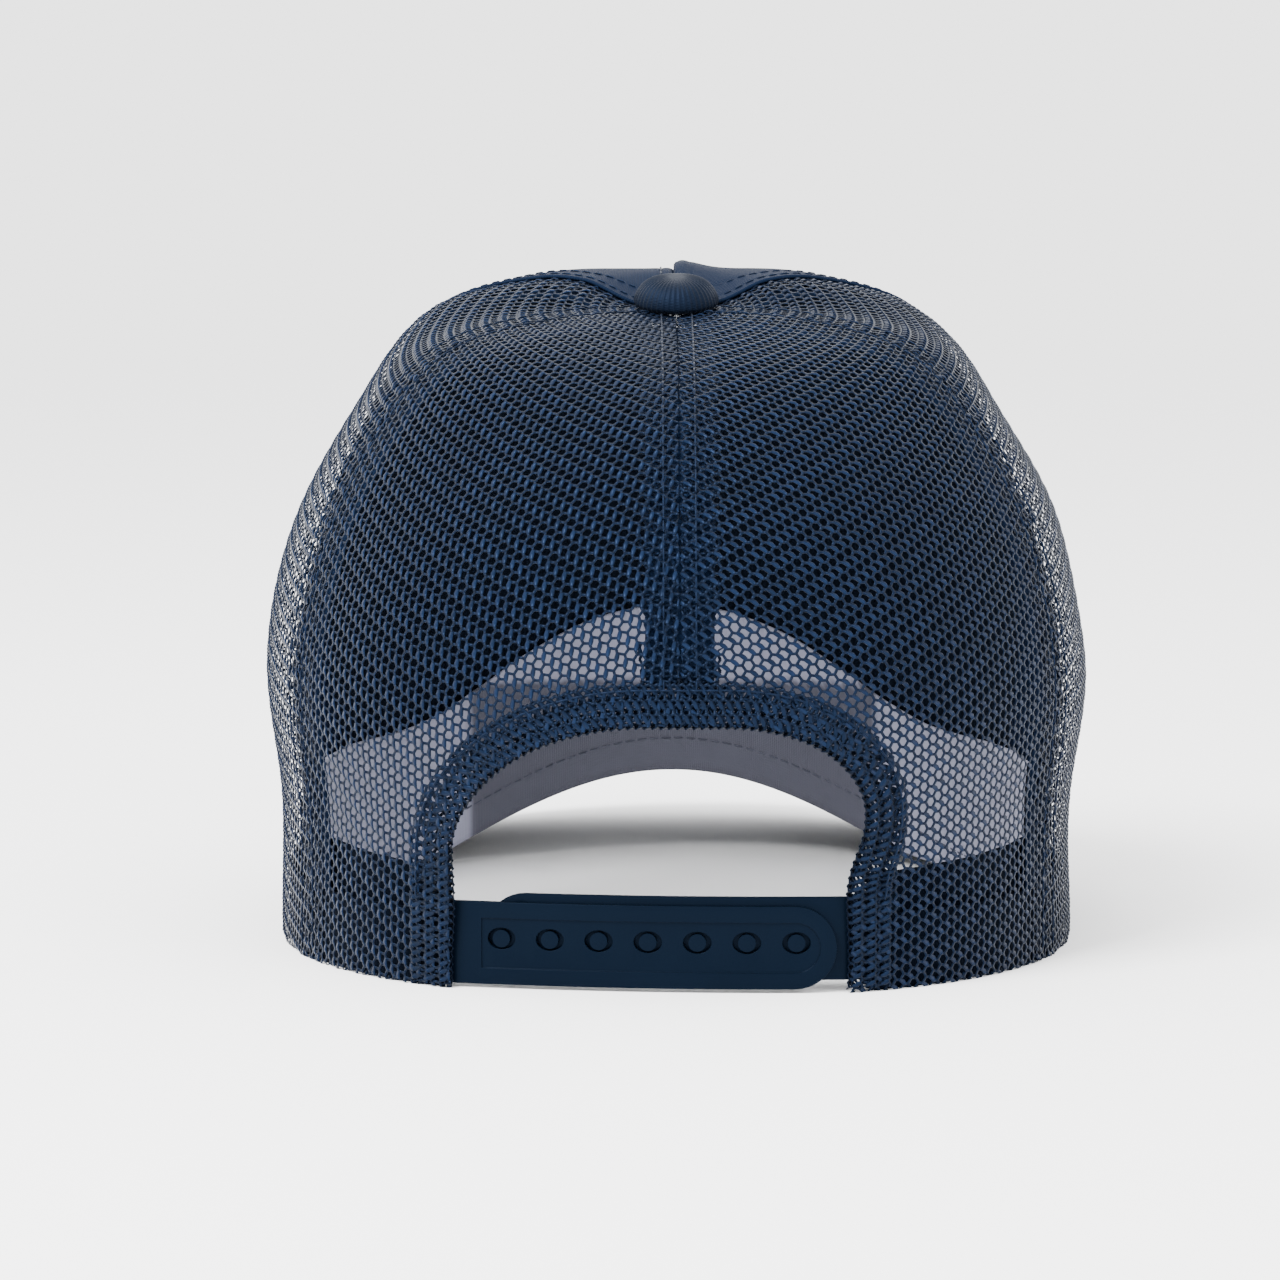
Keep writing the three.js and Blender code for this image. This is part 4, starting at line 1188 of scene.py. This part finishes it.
visor_base = float(seam_for(VISOR_REACH * (visor_end[0] - VISOR_EDGE * (1 - RIM_FLAT)))[1])


def rim_y(x, inset):
    across = np.clip(np.abs(x) / (visor_end[0] - inset), 0, 1)
    reach = (1 - across ** VISOR_EXPONENT) ** (1 / VISOR_EXPONENT)
    return visor_end[1] + (visor_tip + inset - visor_end[1]) * reach


def visor_place(x, y, height):
    seam_y, seam_z = seam_for(x)
    out = np.clip((seam_y - y) / VISOR_LENGTH, 0, 1)
    droop = VISOR_DROOP * out ** 1.5 * (1 - (x / visor_end[0]) ** 2)
    return np.stack([x, y, seam_z - visor_base - droop + height], -1)


def from_rim(x, y):
    """How far in from the rim a point of the visor is."""
    low, high = np.zeros(x.shape), np.full(x.shape, float(VISOR_LENGTH))
    for _ in range(24):
        half = (low + high) / 2
        outside = (rim_y(x, half) > y) | (np.abs(x) > visor_end[0] - half)
        low, high = np.where(outside, low, half), np.where(outside, half, high)
    return (low + high) / 2


def visor_grid(inset, columns=110, rows=46):
    across = VISOR_REACH * np.sin((np.linspace(0, 1, columns) - 0.5) * math.pi)
    x = np.broadcast_to(across * (visor_end[0] - inset), (rows, columns))
    seam_y, _ = seam_for(x)
    rim = np.minimum(rim_y(x, inset), seam_y - VISOR_EDGE)
    forward = np.linspace(0, 1, rows)[:, None]
    return x, seam_y + (rim - seam_y) * forward


def stitch_valley(distance):
    row = (distance - VISOR_EDGE) / VISOR_ROW_PITCH
    near = np.exp(-(np.abs(row - np.round(row)) * VISOR_ROW_PITCH / 0.8) ** 2)
    sewn = (distance > 0.5 * VISOR_ROW_PITCH) & (distance < (VISOR_ROWS + 0.5) * VISOR_ROW_PITCH)
    return np.where(sewn, near, 0)


def visor_cover(name, height, thick, up):
    x, y = visor_grid(VISOR_EDGE + 0.1)
    valley = VALLEY * stitch_valley(from_rim(x, y))
    low, high = height + (0 if up > 0 else valley), height + thick - (valley if up > 0 else 0)
    flat = np.stack([x, y, 0 * x], -1)
    return cloth_body(name, visor_place(x, y, high), visor_place(x, y, low), flat, visor_twill)


def visor_rim():
    across = VISOR_REACH * np.sin((np.linspace(0, 1, RIM_PLACES) - 0.5) * math.pi)
    turn = np.linspace(0, 2 * math.pi, RIM_SIDES + 1)[:-1]
    rings = []
    for angle in turn:
        inset = VISOR_EDGE * (0.62 - 0.62 * math.cos(angle)) * 0.92
        x = across * (visor_end[0] - inset)
        seam_y, _ = seam_for(x)
        y = np.minimum(rim_y(x, inset), seam_y - 1)
        rings.append(visor_place(x, y, VISOR_TALL * (0.5 + 0.5 * math.sin(angle))))
    rings = np.moveaxis(np.array(rings), 0, 1)
    run = run_along(rings[:, 0])
    last = (RIM_PLACES - 1) * RIM_SIDES
    faces = grid_faces(RIM_PLACES, RIM_SIDES, closed=True)
    faces += [list(range(RIM_SIDES)), [last + i for i in reversed(range(RIM_SIDES))]]
    obj = mesh_object("visor_edge_binding_cloth", rings, faces)
    flat = np.stack(np.broadcast_arrays(run[:, None], turn * 2, np.zeros(1)), -1)
    point_attribute(obj, "flat", "FLOAT_VECTOR", flat)
    face_out(obj)
    return give(obj, visor_twill)


under_cover = visor_cover("visor_under_cover_cloth", 0.0, COVER_THICK, -1)
top_cover = visor_cover("visor_top_cover_cloth", VISOR_TALL - COVER_THICK, COVER_THICK, 1)
for piece, name in ((under_cover, "visor_under_cover"), (top_cover, "visor_top_cover"),
                    (visor_rim(), "visor_edge_binding")):
    declare(finish_piece(piece, name, slot="twill"))
give(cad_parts["visor_board"], board_plastic)

visor_rows = []
for row in range(1, VISOR_ROWS + 1):
    inset = VISOR_EDGE + row * VISOR_ROW_PITCH
    across = np.sin((np.linspace(0, 1, 160) - 0.5) * math.pi)
    x = across * (visor_end[0] - inset) * 0.999
    seam_y, _ = seam_for(x)
    y = rim_y(x, inset)
    on = y < seam_y - 1.5
    for height, side in ((VISOR_TALL - 0.26, 1), (0.26, -1)):
        visor_rows.append((visor_place(x[on], y[on], height), np.array([0.0, 0.0, side])))
sew("visor_stitches", visor_rows)

# %% [markdown]
# # Button
# The button is a pressed steel shell wrapped in fine knit, riveted through the top of the crown. The knit is
# pulled round the dome, so its wales run towards the middle. The steel parts are the CAD's own.

# %%
BUTTON_RADIUS = 9
BUTTON_HEIGHT = 6.4
BUTTON_LIFT = 0.3
BUTTON_WALES = 46
BUTTON_COURSES = 16


def button_frame():
    step = 0.3 / 7
    run = surface(math.pi, 1 - step) - surface(0.0, 1 - step)
    lean = math.atan2(run[2], run[1]) - math.pi
    return surface(0.0, 1.0), Euler((lean, 0, 0)).to_matrix()


def button_cover():
    columns, rows = 6 * BUTTON_WALES, 60
    around = np.linspace(0, 2 * math.pi, columns, endpoint=False)
    rise = np.linspace(-0.25, 0.995, rows) * math.pi / 2
    domed = np.maximum(rise, 0)
    tuck = np.where(rise < 0, 1 - 0.5 * (rise / 0.4) ** 2 * 0.2, 1)
    radius = BUTTON_RADIUS * np.cos(domed) ** 0.6 * tuck
    low, high = 0.18 * (1 + rise / 0.4), 0.18 + 0.82 * np.sin(domed) ** 1.2
    tall = BUTTON_HEIGHT * np.where(rise > 0, high, low)
    bead = 0.16 * np.maximum(np.cos(around[None] * BUTTON_WALES), -0.4)
    course = np.cos(np.linspace(0, 2 * math.pi * BUTTON_COURSES, rows))[:, None]
    course = course * np.sin(around[None] * BUTTON_WALES / 2)
    relief = (bead + 0.05 * course) * np.clip(radius[:, None] / BUTTON_RADIUS * 1.6 - 0.25, 0, 1)
    r = radius[:, None] + relief * np.clip(1 - rise[:, None], 0.2, 1)
    z = tall[:, None] + BUTTON_LIFT + relief * np.clip(rise[:, None], 0, 1) * 0.8
    local = np.stack([r * np.cos(around), r * np.sin(around), np.broadcast_to(z, r.shape)], -1)
    seat, turn = button_frame()
    points = local @ np.array(turn).T + seat
    faces = grid_faces(rows, columns, closed=True)
    faces += [list(range(columns)), [(rows - 1) * columns + i for i in reversed(range(columns))]]
    obj = mesh_object("button_cover_cloth", points, faces)
    flat = np.stack(np.broadcast_arrays(around * BUTTON_RADIUS, rise[:, None] * BUTTON_RADIUS, np.zeros(1)), -1)
    point_attribute(obj, "flat", "FLOAT_VECTOR", flat)
    point_attribute(obj, "yarn", "FLOAT", np.broadcast_to(0.3 + 0.3 * np.sin(around * 5), r.shape))
    face_out(obj)
    return give(obj, button_knit)


button_knit = yarn_material("button_knit", dyed(0.5), 0.6, 0.02)
declare(finish_piece(button_cover(), "button_cover", slot="button_fabric"))
for name in ("button_shell", "button_shank", "button_washer"):
    give(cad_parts[name], steel)

# %% [markdown]
# # Snap strap
# Two soft plastic straps are sewn into the hem and pressed together at the middle: the outer one has oval
# holes in a shallow sunk panel, and the inner one has round pegs. Each is built as one moulding with its
# sewn tab. Its edges are rounded, since the light catches them before anything else.

# %%
STRAP_HEIGHT = 16.5
STRAP_THICK = 1.4
STRAP_BOTTOM = 0.8
STRAP_RADIUS = 260
STRAP_END_GAP = 2
PEGGED_LIFT = 1.6
PEGGED_END_GAP = 6
TAB_LENGTH = 12
HINGE_INSET = 1.6
PEG_COUNT = 7
PEG_PITCH = 9.75
FIRST_PEG = 9.9
PEG_HEIGHT = 10
PEG_RADIUS = 1.75
HOLE_HALF_WIDTH = 2.8
HOLE_HALF_HEIGHT = 2.15
RECESS_DEPTH = 0.4
RECESS_HEIGHT = 10
RECESS_END = 3.2
RECESS_START = 1.2  # from its start to the first hole
PEG_PROUD = 1.2  # how far a peg stands past the meeting face, into its hole
EDGE_ROUND = 0.22
STRAP_GAP = 0.175  # from the meeting face to each strap
TAB_DEPTH = 2.5
STRAP_SHARE = 0.06


def back_point(x, depth):
    azimuth = np.radians(np.linspace(-80, 80, 2000))
    line = crown_point(azimuth, np.full(2000, STRAP_SHARE), depth)
    return np.array([np.interp(x, line[:, 0], line[:, i]) for i in range(3)])


left_edge = back_point(OPENING_LEFT, SWEATBAND_DEPTH - STRAP_GAP)
right_edge = back_point(-OPENING_FOOT_RIGHT, TAB_DEPTH - STRAP_GAP)
chord = (left_edge - right_edge)[:2]
inward = unit(np.array([chord[1], -chord[0]]))
arc_centre = (left_edge + right_edge)[:2] / 2 + inward * math.sqrt(STRAP_RADIUS ** 2 - float(chord @ chord) / 4)
arc_left = math.atan2(*(left_edge[:2] - arc_centre))
arc_right = math.atan2(*(right_edge[:2] - arc_centre))


def on_arc(run, offset, z):
    """run is millimetres along the strap from its left edge."""
    angle = arc_left - np.asarray(run, float) / STRAP_RADIUS
    radius = STRAP_RADIUS + offset
    x, y = arc_centre[0] + radius * np.sin(angle), arc_centre[1] + radius * np.cos(angle)
    return np.stack(np.broadcast_arrays(x, y, z), -1)


strap_run = (arc_left - arc_right) * STRAP_RADIUS


def flat_solid(name, outline, low, high):
    """An outline in the strap's flat plane, run and height, as a slab from low to high offset."""
    outline = np.asarray(outline, float)
    count = len(outline)
    points = np.concatenate([np.c_[outline, np.full(count, low)], np.c_[outline, np.full(count, high)]])
    faces = [list(range(count)), [count + i for i in reversed(range(count))]]
    faces += [[i, (i + 1) % count, count + (i + 1) % count, count + i] for i in range(count)]
    obj = mesh_object(name, points, faces, smooth=False)
    face_out(obj)
    return obj


def stadium(start, end, middle, tall, steps=20):
    """A strip with a square near end and a round far one."""
    half = tall / 2
    direction = math.copysign(1, end - start)
    turn = np.linspace(-math.pi / 2, math.pi / 2, steps)
    far = np.c_[end - direction * half + direction * half * np.cos(turn), middle + half * np.sin(turn)]
    return np.concatenate([[[start, middle - half]], far, [[start, middle + half]]])


def oval(run, z, half_width, half_height, sides=40):
    turn = np.linspace(0, 2 * math.pi, sides, endpoint=False)
    return np.c_[run + half_width * np.cos(turn), z + half_height * np.sin(turn)]


def apply_modifiers(obj):
    bpy.context.view_layer.update()
    mesh = bpy.data.meshes.new_from_object(obj.evaluated_get(bpy.context.evaluated_depsgraph_get()))
    obj.modifiers.clear()
    obj.data = mesh


def boolean(body, tool, operation):
    modifier = body.modifiers.new("cut", "BOOLEAN")
    modifier.operation, modifier.solver, modifier.object = operation, "EXACT", tool
    apply_modifiers(body)
    bpy.data.objects.remove(tool)


def moulded(obj):
    """Rounds the edges and adds the cuts along the strap that let it bend smoothly."""
    bevel = obj.modifiers.new("round", "BEVEL")
    bevel.width = EDGE_ROUND * MM
    bevel.segments = 3
    bevel.limit_method = "ANGLE"
    bevel.angle_limit = math.radians(40)
    apply_modifiers(obj)
    work = bmesh.new()
    work.from_mesh(obj.data)
    for x in np.arange(-20, strap_run + 20, 1.5):
        every = work.verts[:] + work.edges[:] + work.faces[:]
        bmesh.ops.bisect_plane(work, geom=every, plane_co=(x * MM, 0, 0), plane_no=(1, 0, 0))
    bmesh.ops.triangulate(work, faces=[f for f in work.faces if len(f.verts) > 4])
    work.to_mesh(obj.data)
    work.free()
    obj.data.shade_smooth()
    obj.data.set_sharp_from_angle(angle=math.radians(50))


def bend_on_arc(obj, tab_side):
    """Carries a flat strap on to its arc, and its tab on to the inside of the crown."""
    co = np.zeros(len(obj.data.vertices) * 3)
    obj.data.vertices.foreach_get("co", co)
    run, z, offset = (co.reshape(-1, 3) / MM).T
    placed = on_arc(run, offset, z)
    past = -run if tab_side > 0 else run - strap_run
    round_back = np.radians(np.linspace(-80, 80, 321))
    azimuth = np.interp(placed[:, 0], surface(round_back, STRAP_SHARE)[:, 0], round_back)
    thick = offset - (STRAP_GAP if tab_side > 0 else -STRAP_GAP - STRAP_THICK)
    wall = crown_point(azimuth, share_at_rise(azimuth, np.maximum(z, 0.1)), TAB_DEPTH + STRAP_THICK - thick)
    wall[:, 2] = z
    mix = ease(past, -0.5, 3.5)[:, None]
    placed = placed * (1 - mix) + wall * mix
    obj.data.vertices.foreach_set("co", (placed * MM).ravel())
    obj.data.update()


def outer_strap():
    middle = STRAP_BOTTOM + STRAP_HEIGHT / 2
    end = strap_run - STRAP_END_GAP
    face = STRAP_GAP + STRAP_THICK
    outline = stadium(-TAB_LENGTH, end, middle, STRAP_HEIGHT)
    strap = flat_solid("outer_strap_plastic", outline, STRAP_GAP, face)
    recess = stadium(FIRST_PEG - HOLE_HALF_WIDTH - RECESS_START, end - RECESS_END, middle, RECESS_HEIGHT)
    boolean(strap, flat_solid("recess", recess, face - RECESS_DEPTH, face + 1), "DIFFERENCE")
    for i in range(PEG_COUNT):
        hole = oval(FIRST_PEG + i * PEG_PITCH, PEG_HEIGHT, HOLE_HALF_WIDTH, HOLE_HALF_HEIGHT)
        boolean(strap, flat_solid("hole", hole, -1, 3), "DIFFERENCE")
    moulded(strap)
    bend_on_arc(strap, 1)
    return give(strap, strap_plastic)


def inner_strap():
    bottom = STRAP_BOTTOM + PEGGED_LIFT
    middle = bottom + STRAP_HEIGHT / 2
    outline = stadium(strap_run + TAB_LENGTH, PEGGED_END_GAP, middle, STRAP_HEIGHT)
    strap = flat_solid("inner_strap_plastic", outline, -STRAP_GAP - STRAP_THICK, -STRAP_GAP)
    for i in range(PEG_COUNT):
        peg = oval(FIRST_PEG + i * PEG_PITCH, PEG_HEIGHT, PEG_RADIUS, PEG_RADIUS, 32)
        boolean(strap, flat_solid("peg", peg, -STRAP_GAP - STRAP_THICK / 2, STRAP_GAP + PEG_PROUD), "UNION")
    moulded(strap)
    bend_on_arc(strap, -1)
    return give(strap, strap_plastic)


outer, inner = outer_strap(), inner_strap()
print("straps:", len(outer.data.polygons), len(inner.data.polygons), "faces")
hinge_left, hinge_right = on_arc(HINGE_INSET, 0.9, 9), on_arc(strap_run - HINGE_INSET, -0.9, 10.5)
for piece, body, hinge, away, nodes in (
        (outer, "outer_strap", hinge_left, 1, ("holed_strap", "holed_strap_tab")),
        (inner, "inner_strap", hinge_right, -1, ("pegged_strap", "pegged_strap_tab"))):
    along = unit(on_arc(40, 0, 0) - on_arc(35, 0, 0)) * away
    start, end = hinge - along * 2, hinge + along * 2
    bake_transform(piece)
    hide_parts(*nodes)

for leftover in (knit_cell, one_stitch):
    bpy.data.objects.remove(leftover)

# %% [markdown]
# # Floor and light
# A white floor and a white room. One big soft light stands behind us and to the left, so that the cap's
# shadow falls softly to the right, and a smaller one from the other side keeps the edges readable.

# %%
FLOOR_HALF = 4000
corners = [(x * FLOOR_HALF, y * FLOOR_HALF, 0) for x, y in ((-1, -1), (1, -1), (1, 1), (-1, 1))]
floor = mesh_object("floor", corners, [[0, 1, 2, 3]])
give(floor, new_material("floor", {
    "Base Color": (0.98, 0.98, 0.985, 1), "Roughness": 1.0, "Specular IOR Level": 0.0})[0])

world = bpy.data.worlds.new("studio")
bpy.context.scene.world = world
world.use_nodes = True
world.node_tree.nodes["Background"].inputs[0].default_value = (1, 1, 1, 1)
world.node_tree.nodes["Background"].inputs[1].default_value = 3.0


def area_light(name, place, target, size, power):
    data = bpy.data.lights.new(name, "AREA")
    data.size = size
    data.energy = power
    light = bpy.data.objects.new(name, data)
    light.location = place
    light.rotation_euler = (Vector(target) - Vector(place)).to_track_quat("-Z", "Y").to_euler()
    bpy.context.scene.collection.objects.link(light)


area_light("key", (0.75, 0.85, 1.25), (0, 0.04, 0.05), 0.7, 70)
area_light("fill", (-0.9, 1.1, 0.7), (0, 0.04, 0.05), 0.6, 8)
